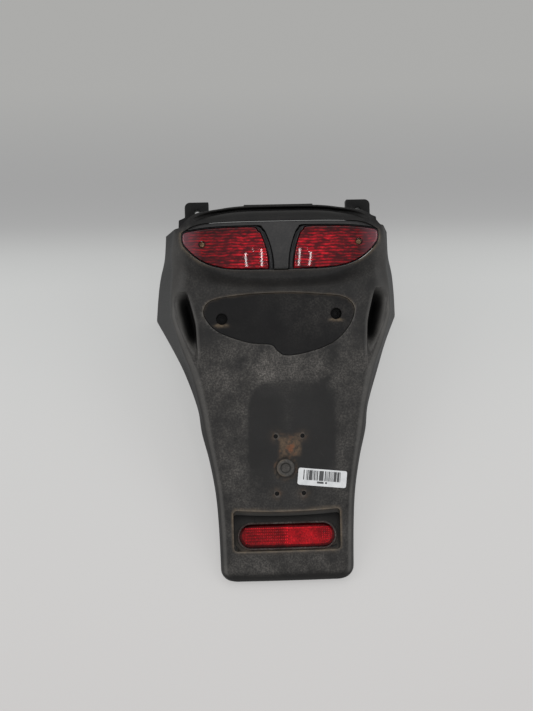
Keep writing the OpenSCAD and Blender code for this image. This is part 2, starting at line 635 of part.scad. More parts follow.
module reflex_base() {
    color("#241a18") seat() on_pocket_floor() translate([0, 0.5, 0.15]) difference() {
        union() {
            stadium(reflex_l, reflex_w, reflex_base_t + 1.5);
            for (x = [-1, 1]) translate([x * stud_pitch / 2, reflex_w / 2, -11]) cylinder(d = stud_d, h = 12, $fn = 32);
        }
        translate([0, reflex_rim, reflex_base_t - 1]) stadium(reflex_l - 2 * reflex_rim, reflex_w - 2 * reflex_rim, 10);
    }
}
module reflex_lens() {
    w = reflex_w - 2 * reflex_rim - 0.4;
    color("#d0121c") seat() on_pocket_floor() translate([0, reflex_rim + 0.7, reflex_base_t - 0.7]) {
        stadium(reflex_l - 2 * reflex_rim - 0.4, w, 5.2);
        translate([0, 0.8, 5.2]) stadium(reflex_l - 2 * reflex_rim - 2, w - 1.6, 0.8);
    }
}
module reflex_nuts() {
    color("#9a9a96") seat() on_pocket_floor()
        for (x = [-1, 1]) translate([x * stud_pitch / 2, reflex_w / 2 + 0.5, -wall - 5.15]) difference() {
            union() {
                cylinder(d = 2 * stud_d, h = 1, $fn = 48);
                cylinder(d = 1.8 * stud_d, h = 4, $fn = 6);
                translate([0, 0, 4]) cylinder(d = 2.2 * stud_d, h = 1, $fn = 48);
            }
            translate([0, 0, -1]) cylinder(d = stud_d + 0.2, h = 10, $fn = 32);
        }
}

fender_shell();
lamp_housing();
lamp_bezel();
lens_left();
lens_right();
lens_seal_left();
lens_seal_right();
reflector_bowl_left();
reflector_bowl_right();
bulb_left();
bulb_right();
bulb_holder_left();
bulb_holder_right();
lens_screws();
hatch_cover();
plate_buffer();
reflex_base();
reflex_lens();
reflex_nuts();
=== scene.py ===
import math

import bmesh
import bpy
import numpy as np
from mathutils import Matrix, Vector


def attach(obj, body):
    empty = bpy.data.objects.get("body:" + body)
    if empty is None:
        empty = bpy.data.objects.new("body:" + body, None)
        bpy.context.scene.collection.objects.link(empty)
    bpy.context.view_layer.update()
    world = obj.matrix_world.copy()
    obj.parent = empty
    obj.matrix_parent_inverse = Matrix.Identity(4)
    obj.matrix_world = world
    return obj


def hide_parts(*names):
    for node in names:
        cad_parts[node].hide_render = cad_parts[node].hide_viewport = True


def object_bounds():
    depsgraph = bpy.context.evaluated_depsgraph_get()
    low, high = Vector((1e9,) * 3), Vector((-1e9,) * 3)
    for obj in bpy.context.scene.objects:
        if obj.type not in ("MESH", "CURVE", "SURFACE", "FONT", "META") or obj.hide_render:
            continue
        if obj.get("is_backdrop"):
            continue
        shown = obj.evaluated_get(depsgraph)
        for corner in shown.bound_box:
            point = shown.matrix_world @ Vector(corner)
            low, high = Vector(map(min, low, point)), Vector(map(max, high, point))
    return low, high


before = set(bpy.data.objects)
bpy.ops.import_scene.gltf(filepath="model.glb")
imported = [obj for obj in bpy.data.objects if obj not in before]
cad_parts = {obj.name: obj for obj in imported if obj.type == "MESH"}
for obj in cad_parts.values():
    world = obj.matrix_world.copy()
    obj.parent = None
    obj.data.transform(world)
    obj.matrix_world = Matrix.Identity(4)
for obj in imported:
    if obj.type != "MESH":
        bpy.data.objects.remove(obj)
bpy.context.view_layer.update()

# Floor and backdrop: one pale sheet that runs back under soft light. Its grey is painted shade: it darkens in
# a band towards the back, where a photographer's paper sweep would turn up into a wall that gets less light;
# no wall is modelled.
scene = bpy.context.scene
scene.view_settings.view_transform = "Standard"


def srgb(r, g, b):
    """Linear colour of an 8-bit screen colour."""
    c = np.array([r, g, b]) / 255
    return tuple(np.where(c <= 0.04045, c / 12.92, ((c + 0.055) / 1.055) ** 2.4)) + (1,)


def fill(tree, socket, value):
    """Links an output to an input, or sets a plain value on it."""
    if isinstance(value, bpy.types.NodeSocket):
        tree.links.new(value, socket)
    else:
        socket.default_value = value


def put(tree, kind, inputs=None, **settings):
    """Adds a node, sets its properties, and fills or links its inputs."""
    node = tree.nodes.new(kind)
    for key, value in settings.items():
        setattr(node, key, value)
    for key, value in (inputs or {}).items():
        fill(tree, node.inputs[key], value)
    return node


def new_material(name, **plain):
    """A material with one Principled shader and these plain values on it."""
    mat = bpy.data.materials.new(name)
    mat.use_nodes = True
    shader = mat.node_tree.nodes["Principled BSDF"]
    for key, value in plain.items():
        shader.inputs[key.replace("_", " ")].default_value = value
    return mat, mat.node_tree, shader


def feed(shader, socket, output):
    shader.id_data.links.new(output, shader.inputs[socket])


def ramp(tree, fac, stops, interpolation="LINEAR"):
    """Colour ramp over fac; a stop is (place, colour or grey)."""
    node = put(tree, "ShaderNodeValToRGB", {"Fac": fac})
    bar = node.color_ramp
    bar.interpolation = interpolation
    while len(bar.elements) < len(stops):
        bar.elements.new(0.5)
    for element, (place, colour) in zip(bar.elements, stops):
        element.position = place
        element.color = colour if isinstance(colour, tuple) else (colour, colour, colour, 1)
    return node.outputs["Color"]


def math_node(tree, operation, a, b=None, clamp=False):
    node = put(tree, "ShaderNodeMath", {0: a}, operation=operation, use_clamp=clamp)
    if b is not None:
        fill(tree, node.inputs[1], b)
    return node.outputs[0]


def times(tree, a, b, clamp=False):
    return math_node(tree, "MULTIPLY", a, b, clamp)


def plus(tree, a, b):
    return math_node(tree, "ADD", a, b)


bpy.ops.mesh.primitive_plane_add(size=14)
floor = bpy.context.object
floor.name = "floor"
floor_paint, tree, shader = new_material("floor_paper", Roughness=0.9)
shader.inputs["Specular IOR Level"].default_value = 0.0
place = put(tree, "ShaderNodeTexCoord").outputs["Object"]
back = put(tree, "ShaderNodeSeparateXYZ", {"Vector": place}).outputs["Y"]
back = put(tree, "ShaderNodeMapRange", {"Value": back, 1: -0.6, 2: 1.4}).outputs[0]
floor_tone_and_painted_shade = ramp(tree, back, [
    (0.0, srgb(202, 200, 199)), (0.14, srgb(205, 203, 202)), (0.3, srgb(206, 206, 205)),
    (0.385, srgb(200, 201, 200)), (0.41, srgb(192, 193, 192)), (0.432, srgb(164, 164, 164)),
    (0.475, srgb(160, 160, 160)), (0.54, srgb(173, 173, 171)), (1.0, srgb(175, 174, 172))], "B_SPLINE")
feed(shader, "Base Color", floor_tone_and_painted_shade)
rays = put(tree, "ShaderNodeLightPath").outputs
seen = math_node(tree, "MAXIMUM", rays["Is Camera Ray"], rays["Is Glossy Ray"])
seen = math_node(tree, "MAXIMUM", seen, rays["Is Transmission Ray"])
glow = put(tree, "ShaderNodeEmission", {"Color": floor_tone_and_painted_shade, "Strength": 1.0})
blend = put(tree, "ShaderNodeMixShader", {0: times(tree, seen, 0.62), 1: shader.outputs[0],
                                          2: glow.outputs[0]})
tree.links.new(blend.outputs[0], tree.nodes["Material Output"].inputs["Surface"])
floor.data.materials.append(floor_paint)
floor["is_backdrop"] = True

# Camera and lights: the camera looks nearly square onto the plate panel from 1.18 m and
# leans a little, as in the photograph. Three soft boxes light the fender, and four thin
# strips make the streaks on its lenses.
slope = math.radians(25)
c25, s25 = math.cos(slope), math.sin(slope)
panel_back, panel_lift = 206.569, 12.688


def seat(p):
    """Panel frame in mm (x across, s up the panel, h outward) to the row frame in metres."""
    x, s, h = np.moveaxis(np.asarray(p, float), -1, 0)
    return np.stack([x, s * c25 - h * s25 - panel_back, s * s25 + h * c25 + panel_lift], -1) / 1000


aim = Vector(seat([-17.9, 248, 0]))
distance = 1.18
across, up_panel = Vector((1, 0, 0)), Vector((0, c25, s25))
out = Vector((0, -s25, c25))
yaw, roll = math.radians(-1.8), math.radians(1.4)
away = (out + math.tan(yaw) * across).normalized()
up = up_panel * math.cos(roll) + across * math.sin(roll)
right = up.cross(away).normalized()
up = away.cross(right).normalized()
camera = bpy.data.objects.new("camera", bpy.data.cameras.new("camera"))
scene.collection.objects.link(camera)
turn = Matrix((right, up, away)).transposed().to_4x4()
camera.matrix_world = Matrix.Translation(aim + away * distance) @ turn
sensor, photo_rows, rows_per_metre = 36, 711, 917
camera.data.lens = sensor * rows_per_metre * distance / photo_rows
camera.data.sensor_width = sensor
scene.camera = camera

world = bpy.data.worlds.new("studio")
scene.world = world
world.use_nodes = True
ambient = world.node_tree.nodes["Background"].inputs
ambient["Color"].default_value = (1, 1, 1, 1)
ambient["Strength"].default_value = 0.6


def softbox(name, place, target, size, size_y, power):
    light = bpy.data.lights.new(name, "AREA")
    light.shape = "RECTANGLE"
    light.size, light.size_y, light.energy = size, size_y, power
    lamp = bpy.data.objects.new(name, light)
    lamp.location = place
    lamp.rotation_euler = (Vector(target) - Vector(place)).to_track_quat("-Z", "Y").to_euler()
    scene.collection.objects.link(lamp)


softbox("softbox_back", (0.1, 1.0, 1.6), (0, 0, 0.05), 1.6, 0.7, 5)
softbox("softbox_left", (-1.3, 0.1, 1.3), (0, 0, 0.05), 0.8, 1.0, 7)
softbox("softbox_right", (1.3, 0.0, 1.3), (0, 0, 0.05), 0.8, 1.0, 6)
for number, x in enumerate((-146, -60, 148, 209)):
    softbox("strip_%d" % number, seat([x, 180, 1000]), seat([x, 180, 0]), 0.008, 0.47, 0.3)

# Fender shell: one injection moulding in charcoal polypropylene. A crowned plate panel
# with rolled edges and flared flanks carries side scoops, a lamp pod and a grooved rim.
wall, crown_r, shell_l, lip, tail_roll = 3.0, 900.0, 413.0, 14.0, 12.0
tail_half, plate_half, waist_half, corner_half, shoulder_half = 73.0, 83.5, 95.0, 146.5, 129.0
corner_s, tail_corner_r, lamp_half, lamp_s, lens_h, lens_rise = 293.0, 14.0, 106.0, 342.0, 45.0, 30.0
pod_h, scoop_depth, brow_band, fit_gap = 13.5, 26.0, 4.5, 0.4
corner_depth = corner_s * math.tan(slope) + lip
# Stations of the flanks: place up the panel, where the roll starts, its radius, half the
# width at the rim and the rim's depth
low_stations = np.array([
    [0, tail_half - 10.5, 10, tail_half, lip],
    [60, tail_half - 9, 10, tail_half + 1.5, lip],
    [98, plate_half - 17, 10, plate_half - 6.2, lip + 1.5],
    [134, plate_half - 12, 11, plate_half, lip + 4],
    [164, waist_half - 19, 13, waist_half - 4, lip + 8],
    [190, waist_half - 15.5, 14, waist_half, lip + 14],
    [230, waist_half - 7, 15, waist_half + 14.5, lip + 33],
    [260, waist_half + 4, 15, corner_half - 20, corner_depth - 50],
    [corner_s, waist_half + 15, 14, corner_half, corner_depth]])
high_stations = np.array([
    [corner_s, waist_half + 15, 14, corner_half, corner_depth],
    [318, waist_half + 11, 18, corner_half - 3.5, corner_depth - 18.5],
    [345, lamp_half - 7, 24, corner_half - 8, corner_depth - 35.5],
    [380, lamp_half - 9, 26, shoulder_half + 3.5, corner_depth - 50.5],
    [shell_l, lamp_half - 11, 24, shoulder_half, corner_depth - 68]])
# Stations of the scoops: place up the panel, inner edge, ridge and share of the depth
scoop_stations = np.array([
    [0, tail_half - 18, tail_half - 11, 0], [134, plate_half - 20, plate_half - 13, 0],
    [200, waist_half - 14, waist_half - 10, 0], [236, waist_half - 2.5, waist_half + 1, 0],
    [256, waist_half - 1.5, waist_half + 8, 0.2], [264, waist_half - 1, waist_half + 11, 0.5],
    [272, waist_half - 0.5, waist_half + 14, 0.84], [284, waist_half + 0.5, waist_half + 19, 1],
    [300, waist_half + 4, waist_half + 23, 0.98], [310, waist_half + 6.5, waist_half + 24, 0.7],
    [316, waist_half + 8, waist_half + 24, 0.25], [320, waist_half + 8.5, waist_half + 22, 0],
    [345, lamp_half - 14, lamp_half - 5, 0], [shell_l, lamp_half - 20, lamp_half - 10, 0]])


def smooth(u):
    v = np.clip(u, 0, 1)
    return v * v * (3 - 2 * v)


def crown(x):
    return np.sqrt(crown_r ** 2 - np.asarray(x, float) ** 2) - crown_r


def along(table, s, column):
    """Smooth curve through one column of a station table."""
    place, value, last = table[:, 0], table[:, column], len(table) - 1
    sides = [(min(i + 1, last), max(i - 1, 0)) for i in range(last + 1)]
    lean = [(value[after] - value[before]) / (place[after] - place[before]) for after, before in sides]
    i = np.clip(np.searchsorted(place, s, side="right") - 1, 0, last - 1)
    d = place[i + 1] - place[i]
    u = np.clip((s - place[i]) / d, 0, 1)
    lean = np.array(lean)
    return ((2 * u ** 3 - 3 * u ** 2 + 1) * value[i] + (u ** 3 - 2 * u ** 2 + u) * d * lean[i]
            + (3 * u ** 2 - 2 * u ** 3) * value[i + 1] + (u ** 3 - u ** 2) * d * lean[i + 1])


def flank(s, column):
    return np.where(s < corner_s, along(low_stations, s, column), along(high_stations, s, column))


def section(s):
    """Roll start, roll radius, rim half, rim depth, scoop edges and depth, roll centre, flank angle."""
    near = np.clip(tail_corner_r - s, 0, None)
    shrink = np.where(s < tail_corner_r, tail_corner_r - np.sqrt(tail_corner_r ** 2 - near ** 2), 0)
    wa, r, we, de = flank(s, 1) - shrink, flank(s, 2), flank(s, 3) - shrink, flank(s, 4)
    tilt = np.arcsin(wa / crown_r)
    ox, oh = wa - r * np.sin(tilt), crown(wa) - r * np.cos(tilt)
    a, b = we - ox, de + oh
    return dict(wa=wa, r=r, we=we, de=de, inner=along(scoop_stations, s, 1) - shrink,
                ridge=along(scoop_stations, s, 2) - shrink,
                deep=scoop_depth * np.clip(along(scoop_stations, s, 3), 0, 1), ox=ox, oh=oh,
                turn=np.arctan2(b, a) + np.arcsin(r / np.hypot(a, b)))


def section_at(p, x):
    on_crown = x <= p["wa"]
    q = np.arcsin(np.clip((x - p["ox"]) / p["r"], 0, 1))
    return (np.where(on_crown, crown(np.minimum(x, p["wa"])), p["oh"] + p["r"] * np.cos(q)),
            np.where(on_crown, np.arcsin(np.minimum(x, p["wa"]) / crown_r), q))


columns = ([("crown", f) for f in np.linspace(0, 1, 28)[:-1]]
           + [("scoop", u) for u in (-.07, -.04, -.01, .01, .03, .05, .07, .09, .12, .16, .21, .28, .36, .45,
                                     .54, .64, .74, .84, .92, 1)]
           + [("roll", v) for v in np.linspace(0, 1, 11)[1:]]
           + [("flank", v) for v in np.linspace(0, 1, 9)[1:]])


def half_section(p, kind, u, inset):
    """One column of a half section: x, h, share of the scoop's depth, share of the row's lift."""
    zero, one = np.zeros_like(p["wa"]), np.ones_like(p["wa"])
    if kind == "crown":
        x = (p["inner"] - inset - 0.07 * (p["ridge"] - p["inner"])) * u
        return x, crown(x) - inset * np.cos(x / crown_r), zero, one
    if kind == "scoop":
        x = p["inner"] + (p["ridge"] - p["inner"]) * u
        h, q = section_at(p, x)
        v = max(u, 0)
        share = smooth((u + 0.07) / 0.16) * math.cos(math.radians(90 * max(u - 0.07, 0) / 0.93)) ** 1.6
        thick = 1 + (0.6 * p["deep"] / scoop_depth if u < 1 else 0)
        return x - inset * np.maximum(1 - v, np.sin(q)), h - inset * thick, zero + share, one
    q0 = section_at(p, np.maximum(p["ridge"], p["wa"]))[1]
    if kind == "roll":
        q = q0 + (p["turn"] - q0) * u
        return (p["ox"] + (p["r"] - inset) * np.sin(q), p["oh"] + (p["r"] - inset) * np.cos(q),
                zero, one * (1 - 0.4 * u))
    tx = p["ox"] + (p["r"] - inset) * np.sin(p["turn"])
    th = p["oh"] + (p["r"] - inset) * np.cos(p["turn"])
    x_end = p["we"] - inset / np.sin(p["turn"])
    return tx + (x_end - tx) * u, th + (-p["de"] - th) * u, zero, one * 0.6 * (1 - u)


def pod(x, s):
    w = np.minimum(np.abs(x), lamp_half) / lamp_half
    foot = lamp_s - 23 + 22 * w ** 4
    return pod_h * smooth((s - foot) / (13 + 16 * w ** 3))


def bow(x, s):
    return 5.2 * (np.minimum(np.abs(x), 110) / 75) ** 4.3 * smooth((s - 325) / (shell_l - 325))


def skin_rows():
    """Rows from the tail to the back wall: outer s, outer lift, inner s, inner lift."""
    rows = []
    for u in (0, .02, .05, .08, .12, .17, .25, .35, .5, .65, .82, 1):
        rise = lip * 0.75 * (math.sqrt(1 - (1 - u) ** 2) - 1)
        rows.append([u * tail_roll, rise, wall + u * (tail_roll - wall), rise - wall * u])
    tail_count = len(rows)
    flat = np.concatenate([np.arange(16, 236, 4.0), np.arange(236, 323, 2.0), np.arange(323, 346, 1.0),
                           np.arange(346, 388, 2.0)])
    rows += [[s, 0, s, -wall] for s in flat]
    brow_s = shell_l - 18
    brow = [[-9, 0, -9, -wall], [0, -1, -.5, -1 - wall], [4, -3, 3, -3.5 - wall], [8, -7.5, 5.5, -8 - wall],
            [11, -15, 7.5, -16 - wall], [12, -23, 8.5, -26 - wall], [12.5, -33, 9.5, -33 - wall],
            [16, -33, 11, -33.4 - wall], [16.3, -26, 12, -33.8 - wall], [18.3, -26, 13, -34.2 - wall],
            [19.3, -30, 14, -34.6 - wall], [20, -44, 17, -44], [21, -62, 18, -62]]
    brow = np.array(brow) + [brow_s, 0, brow_s, 0]
    fine = []
    for a, b in zip(brow[:-1], brow[1:]):
        fine += [a + (b - a) * t for t in (0, 0.25, 0.5, 0.75)]
    fine = np.array(fine[1:] + [brow[-1]])
    for _ in range(3):
        fine[1:-1] = 0.25 * fine[:-2] + 0.5 * fine[1:-1] + 0.25 * fine[2:]
    return np.array(rows + list(fine)), tail_count, len(rows)


def skin_side(inset):
    """All points of the outer skin, or of the inner one when inset is the wall."""
    rows, tail_count, first_brow = skin_rows()
    count = len(rows)
    s0 = rows[:, 2] if inset else rows[:, 0]
    lift = rows[:, 3] + wall if inset else rows[:, 1]
    tail_u = rows[:tail_count, 0] / tail_roll
    thin = np.full(count, inset)
    thin[:tail_count] *= np.interp(tail_u, [0, 0.08, 0.25, 0.5, 1], [0, 0.25, 0.5, 0.75, 1])
    p = section(s0)
    index = np.arange(count)
    points = []
    for side in (-1, 1):
        half = []
        for kind, u in columns:
            x, h, share, ride = half_section(p, kind, u, thin)
            x = x * side
            s = s0 - bow(x, rows[:, 0])
            brow_fade = np.where(index < first_brow, 0, 1 - smooth((np.abs(x) - 62) / 36))
            fade = np.where(index < tail_count, 1, brow_fade)
            h = h - p["deep"] * share + pod(x, s - inset * 0.7) * ride + lift * fade * ride
            half.append(np.stack([x, s, np.maximum(h, -p["de"])], -1))
        points.append(half)
    return np.stack(points[0][:0:-1] + points[1], 1)


def make_mesh(name, verts, faces, in_metres=False):
    mesh = bpy.data.meshes.new(name)
    mesh.from_pydata((verts if in_metres else seat(verts)).tolist(), [], [list(map(int, f)) for f in faces])
    mesh.validate()
    return mesh


def add_piece(name, mesh):
    piece = bpy.data.objects.new(name, mesh)
    scene.collection.objects.link(piece)
    return piece


def grid_faces(m, n, start=0, flip=False, closed=False):
    """Quads of m rows of n points, the rows closed into rings if closed."""
    faces = []
    for i in range(m - 1):
        for j in range(n if closed else n - 1):
            a, b = start + i * n + j, start + i * n + (j + 1) % n
            f = (a, b, b + n, a + n)
            faces.append(f[::-1] if flip else f)
    return faces


def end_faces(count, n):
    """The first and the last of count rings of n points, each as one face."""
    return [tuple(range(n - 1, -1, -1)), tuple(range((count - 1) * n, count * n))]


def at_height(outline, h):
    return np.column_stack([outline, np.full(len(outline), h)])


def prism(outline, low, high):
    """Upright solid over a closed outline."""
    outline = np.asarray(outline, float)
    n = len(outline)
    area = np.sum(outline[:, 0] * np.roll(outline[:, 1], -1) - outline[:, 1] * np.roll(outline[:, 0], -1))
    if area < 0:
        outline = outline[::-1]
    verts = np.concatenate([at_height(outline, h) for h in (low, high)])
    return verts, end_faces(2, n) + grid_faces(2, n, closed=True)


def circle(x, s, r, n=48):
    q = np.linspace(0, 2 * np.pi, n, endpoint=False)
    return np.column_stack([x + r * np.cos(q), s + r * np.sin(q)])


def turned(x, s, profile, n=48):
    """Rings of a turned shape that stands on the panel, from its (radius, height) points."""
    return [at_height(circle(x, s, r, n), h) for r, h in profile]


def bore(x, s, r, low, high, n=48):
    return prism(circle(x, s, r, n), low, high)


def join_solids(solids):
    verts, faces, count = [], [], 0
    for v, f in solids:
        verts.append(v)
        faces += [tuple(i + count for i in face) for face in f]
        count += len(v)
    return np.concatenate(verts), faces


def bake_modifiers(piece):
    """Replaces a piece's mesh by what its modifiers make of it."""
    bpy.context.view_layer.update()
    made = bpy.data.meshes.new_from_object(piece.evaluated_get(bpy.context.evaluated_depsgraph_get()))
    piece.modifiers.clear()
    old, piece.data = piece.data, made
    bpy.data.meshes.remove(old)
    return piece


def cut(piece, solids):
    cutter = add_piece("cutter", make_mesh("cutter", *join_solids(solids)))
    tool = piece.modifiers.new("cut", "BOOLEAN")
    tool.operation, tool.solver, tool.object = "DIFFERENCE", "EXACT", cutter
    bake_modifiers(piece)
    bpy.data.objects.remove(cutter)
    return piece


def soften(piece, width, angle=35):
    """Small round, width in mm, on every edge sharper than angle."""
    round_over = piece.modifiers.new("round", "BEVEL")
    round_over.width, round_over.segments = width / 1000, 2
    round_over.limit_method, round_over.angle_limit = "ANGLE", math.radians(angle)
    round_over.use_clamp_overlap = True
    return bake_modifiers(piece)


def shade(piece, angle=32):
    piece.data.shade_smooth()
    piece.data.set_sharp_from_angle(angle=math.radians(angle))
    return piece


def merge(pieces, name):
    """Joins pieces into one object."""
    with bpy.context.temp_override(active_object=pieces[0], object=pieces[0],
                                   selected_editable_objects=pieces, selected_objects=pieces):
        bpy.ops.object.join()
    pieces[0].name = name
    return pieces[0]


def curve(points, n):
    """Closed smooth curve through the points, n steps between each two."""
    p = np.asarray(points, float)
    a, b, c, d = np.roll(p, 1, 0), p, np.roll(p, -1, 0), np.roll(p, -2, 0)
    return np.concatenate([[b[i] + (c[i] - a[i]) * u / 2
                            + (2 * a[i] - 5 * b[i] + 4 * c[i] - d[i]) * u * u / 2
                            + (3 * b[i] - a[i] - 3 * c[i] + d[i]) * u ** 3 / 2
                            for u in np.arange(n) / n] for i in range(len(p))])


def grow(outline, g):
    """A clockwise outline moved outward by g."""
    d = np.roll(outline, -1, 0) - np.roll(outline, 1, 0)
    return outline + g * np.column_stack([-d[:, 1], d[:, 0]]) / np.linalg.norm(d, axis=1)[:, None]


def lens_low(x):
    return lamp_s + lens_rise * (np.abs(x) / lamp_half) ** 5


def lens_high(x):
    return lamp_s + lens_h - 5 * (np.abs(x) / lamp_half) ** 6


def half_lamp(g):
    """Right half of the outline round both lenses and their band, clockwise, grown by g."""
    lift = np.interp(np.linspace(0, 1, 30), [0, 0.8, 0.88, 0.95, 1], [1, 1, 0.8, 0.4, 0]) * brow_band
    x = np.linspace(0, 1, 30) * lamp_half
    top = np.column_stack([x, lens_high(x) + lift + g])[:-1]
    corner = [[lamp_half + g * 0.7, lens_high(lamp_half) + g * 0.7],
              [lamp_half + g, lens_high(lamp_half) - 2], [lamp_half + g, lens_low(lamp_half) + 2]]
    w = np.concatenate([[0.985, 0.97, 0.955], np.linspace(0.94, 0.03, 40)])
    q = np.arctan(5 * lens_rise / lamp_half * w ** 4)
    low = np.column_stack([w * lamp_half + g * np.sin(q), lens_low(w * lamp_half) - g * np.cos(q)])
    return np.concatenate([top, corner, low])


def lamp_outline(g):
    half = half_lamp(g)
    left = half[::-1] * [-1, 1]
    return np.concatenate([half, [[0, lamp_s - g]], left[left[:, 0] < 0]])


hatch_gap, hatch_t, hatch_ledge, well_d, well_depth = 0.6, 2.7, 5.0, 12.0, 11.0
hatch_outline = curve([[-85.3, 297.8], [-75.3, 309.5], [-40, 314.6], [5.7, 315.9], [45, 313.4],
                       [68.9, 309.8], [79.6, 298], [73.7, 279.1], [55.7, 261.1], [28.1, 251],
                       [4, 247.9], [-5.7, 253], [-13, 259.8], [-37, 262.6], [-66.7, 273.3],
                       [-80, 284.6]], 12)
hatch_wells = ((-65.7, 288.6), (59.5, 292.1))
pocket_half, pocket_low, pocket_high = 58.5, 34.5, 80.0
pocket_lip, pocket_depth, pocket_draft = 3.0, 16.0, 6.5
pocket_tilt = math.atan((pocket_depth - pocket_lip) / (pocket_high - pocket_draft - pocket_low))
plate_mid, plate_pitch, plate_hole_d, buffer_s, buffer_d = 4.6, 29.3, 5.0, 125.0, 20.0
plate_holes = [(plate_mid + e * plate_pitch / 2, hole_s) for e in (-1, 1) for hole_s in (97, 159.5)]
lamp_gap = 1.2 + 2 * fit_gap


def across_prism(profile, half):
    """Solid with a side profile of (s, h) points, running across the fender."""
    profile = np.asarray(profile, float)
    n = len(profile)
    verts = np.concatenate([np.column_stack([np.full(n, x), profile]) for x in (-half, half)])
    return verts, end_faces(2, n) + grid_faces(2, n, closed=True)


def outward(mesh):
    work = bmesh.new()
    work.from_mesh(mesh)
    bmesh.ops.recalc_face_normals(work, faces=work.faces)
    if work.calc_volume(signed=True) < 0:
        bmesh.ops.reverse_faces(work, faces=work.faces)
    work.to_mesh(mesh)
    work.free()
    return mesh


def solid_piece(name, verts, faces):
    """A closed piece whose faces point outwards."""
    return add_piece(name, outward(make_mesh(name, verts, faces)))


outer, inner = skin_side(0.0), skin_side(wall)
m, n = outer.shape[:2]
k = m * n
faces = grid_faces(m, n) + grid_faces(m, n, start=k, flip=True)
for j in range(n - 1):
    faces += [(j + 1, j, k + j, k + j + 1)]
    a = (m - 1) * n + j
    faces += [(a, a + 1, k + a + 1, k + a)]
for i in range(m - 1):
    a, b = i * n, i * n + n - 1
    faces += [(a, a + n, k + a + n, k + a), (b + n, b, k + b, k + b + n)]
shell = solid_piece("shell", np.concatenate([outer.reshape(-1, 3), inner.reshape(-1, 3)]), faces)

# The pocket's corners are rounded and its upper rim sags over a small shelf.
corner_in, corner_up, rim_sag = np.array([0, 0.6, 1.6, 3.5]), [3.6, 2.0, 0.8, 0], 2.6
shelf_in, shelf_depth, shelf_edge, shelf_top = 5.4, 5.8, 1.2, 5.0
across_pocket = np.concatenate([corner_in - pocket_half, np.linspace(-50, 50, 21),
                                pocket_half - corner_in[::-1]])
corner = np.concatenate([corner_up, np.zeros(21), corner_up[::-1]])
sag = rim_sag * (1 - (across_pocket / pocket_half) ** 2)
pocket_loops = []
for x, rise, drop in zip(across_pocket, corner, sag):
    foot, rim = pocket_low + rise, pocket_high - rise - drop
    pocket_loops.append([[x, foot, 5], [x, foot, -pocket_lip], [x, rim - pocket_draft, -pocket_depth],
                         [x, rim - shelf_in, -shelf_depth], [x, rim - shelf_edge, -shelf_top],
                         [x, rim, 0], [x, rim, 5]])
pocket_cut = (np.concatenate(pocket_loops),
              end_faces(len(pocket_loops), 7) + grid_faces(len(pocket_loops), 7, closed=True))
openings = [prism(grow(hatch_outline, hatch_gap), -20, 20), prism(lamp_outline(lamp_gap), -8, 40),
            pocket_cut, bore(0, buffer_s, buffer_d * 0.275 + 0.3, -20, 20)]
# Thin floors close the plate holes at their bottoms, and the deep mask paints them dark as painted shade, so
# that the holes show dark.
shade_floor_top = 0.6 - wall
openings += [bore(*hole, plate_hole_d / 2, shade_floor_top, 20, 32) for hole in plate_holes]
cut(shell, openings)


def pocket_floor(s):
    return -pocket_lip - (s - pocket_low) * math.tan(pocket_tilt)


low, high, under = pocket_low - wall, pocket_high - pocket_draft + 1, wall / math.cos(pocket_tilt)
pocket_body = solid_piece("pocket", *across_prism(
    [[low - 0.5, -2.5], [low, pocket_floor(low) - under], [high, pocket_floor(high) - under],
     [pocket_high + wall, -2.5]], pocket_half + wall))


def on_pocket_floor(p):
    """Frame of the pocket's floor, square to it, to the panel frame."""
    p = np.asarray(p, float)
    x, y, z = np.moveaxis(p, -1, 0)
    c, s = math.cos(pocket_tilt), math.sin(pocket_tilt)
    return np.stack([x, pocket_low + y * c + z * s, -pocket_lip - y * s + z * c], -1)


stud_bores = []
stud_half, stud_up, stud_bore_r = 35.0, 15.5, 2.8
for e in (-1, 1):
    verts, hole_faces = bore(e * stud_half, stud_up, stud_bore_r, -20, 10, 32)
    stud_bores.append((on_pocket_floor(verts), hole_faces))
cut(pocket_body, [pocket_cut])
cut(pocket_body, stud_bores)


def ring_loops(loops):
    """Rings of points joined in order, the last to the first, as one closed tube."""
    n = len(loops[0])
    verts = np.concatenate(loops)
    faces = grid_faces(len(loops), n, closed=True)
    last = (len(loops) - 1) * n
    faces += [(last + j, last + (j + 1) % n, (j + 1) % n, j) for j in range(n)]
    return verts, faces


def under_crown(outline, depth):
    return np.column_stack([outline, crown(outline[:, 0]) - depth])


# Section of the ledge under the hatch, as (growth of the outline, depth) points
ledge_profile = [(4, wall - 0.4), (hatch_gap, wall - 0.4), (hatch_gap, hatch_t + 0.4),
                 (-hatch_ledge, hatch_t + 0.4), (-hatch_ledge, wall + 3.6), (4, wall + 3.6)]
ledge = solid_piece("ledge", *ring_loops([under_crown(grow(hatch_outline, g), depth)
                                          for g, depth in ledge_profile]))
parts = [shell, pocket_body, ledge]
# The bosses are closed at their bottoms, and the deep mask paints these floors dark as painted shade.
boss_profile = [(7.9, -6.1), (10.3, -6.1), (10.3, -27), (0.05, -27), (0.05, -13.4), (7.9, -13.4)]
parts += [solid_piece("boss", *ring_loops(turned(*well, boss_profile))) for well in hatch_wells]
lug_half, lug_s = 91.0, 423.0
for side in (-1, 1):
    q = np.radians(np.arange(0, 91, 15))
    shape = [[lug_half - 13, lug_s], [lug_half + 8, lug_s]]
    shape += [[lug_half + 8 + 6 * math.sin(a), lug_s - 6 + 6 * math.cos(a)] for a in q[1:]]
    shape += [[lug_half + 14, lug_s - 17], [lug_half + 21, lug_s - 20], [lug_half + 22, lug_s - 38],
              [shoulder_half - 6, lug_s - 50], [shoulder_half - 6, lug_s - 66],
              [shoulder_half - 12, lug_s - 66], [lug_half + 10, lug_s - 44], [lug_half - 13, lug_s - 24]]
    lug = solid_piece("lug", *prism(np.array(shape) * [side, 1], -62, -46))
    cut(lug, [bore(side * lug_half, lug_s - 12, 3.25, -90, -30, 32)])
    soften(lug, 0.8, 50)
    parts.append(lug)
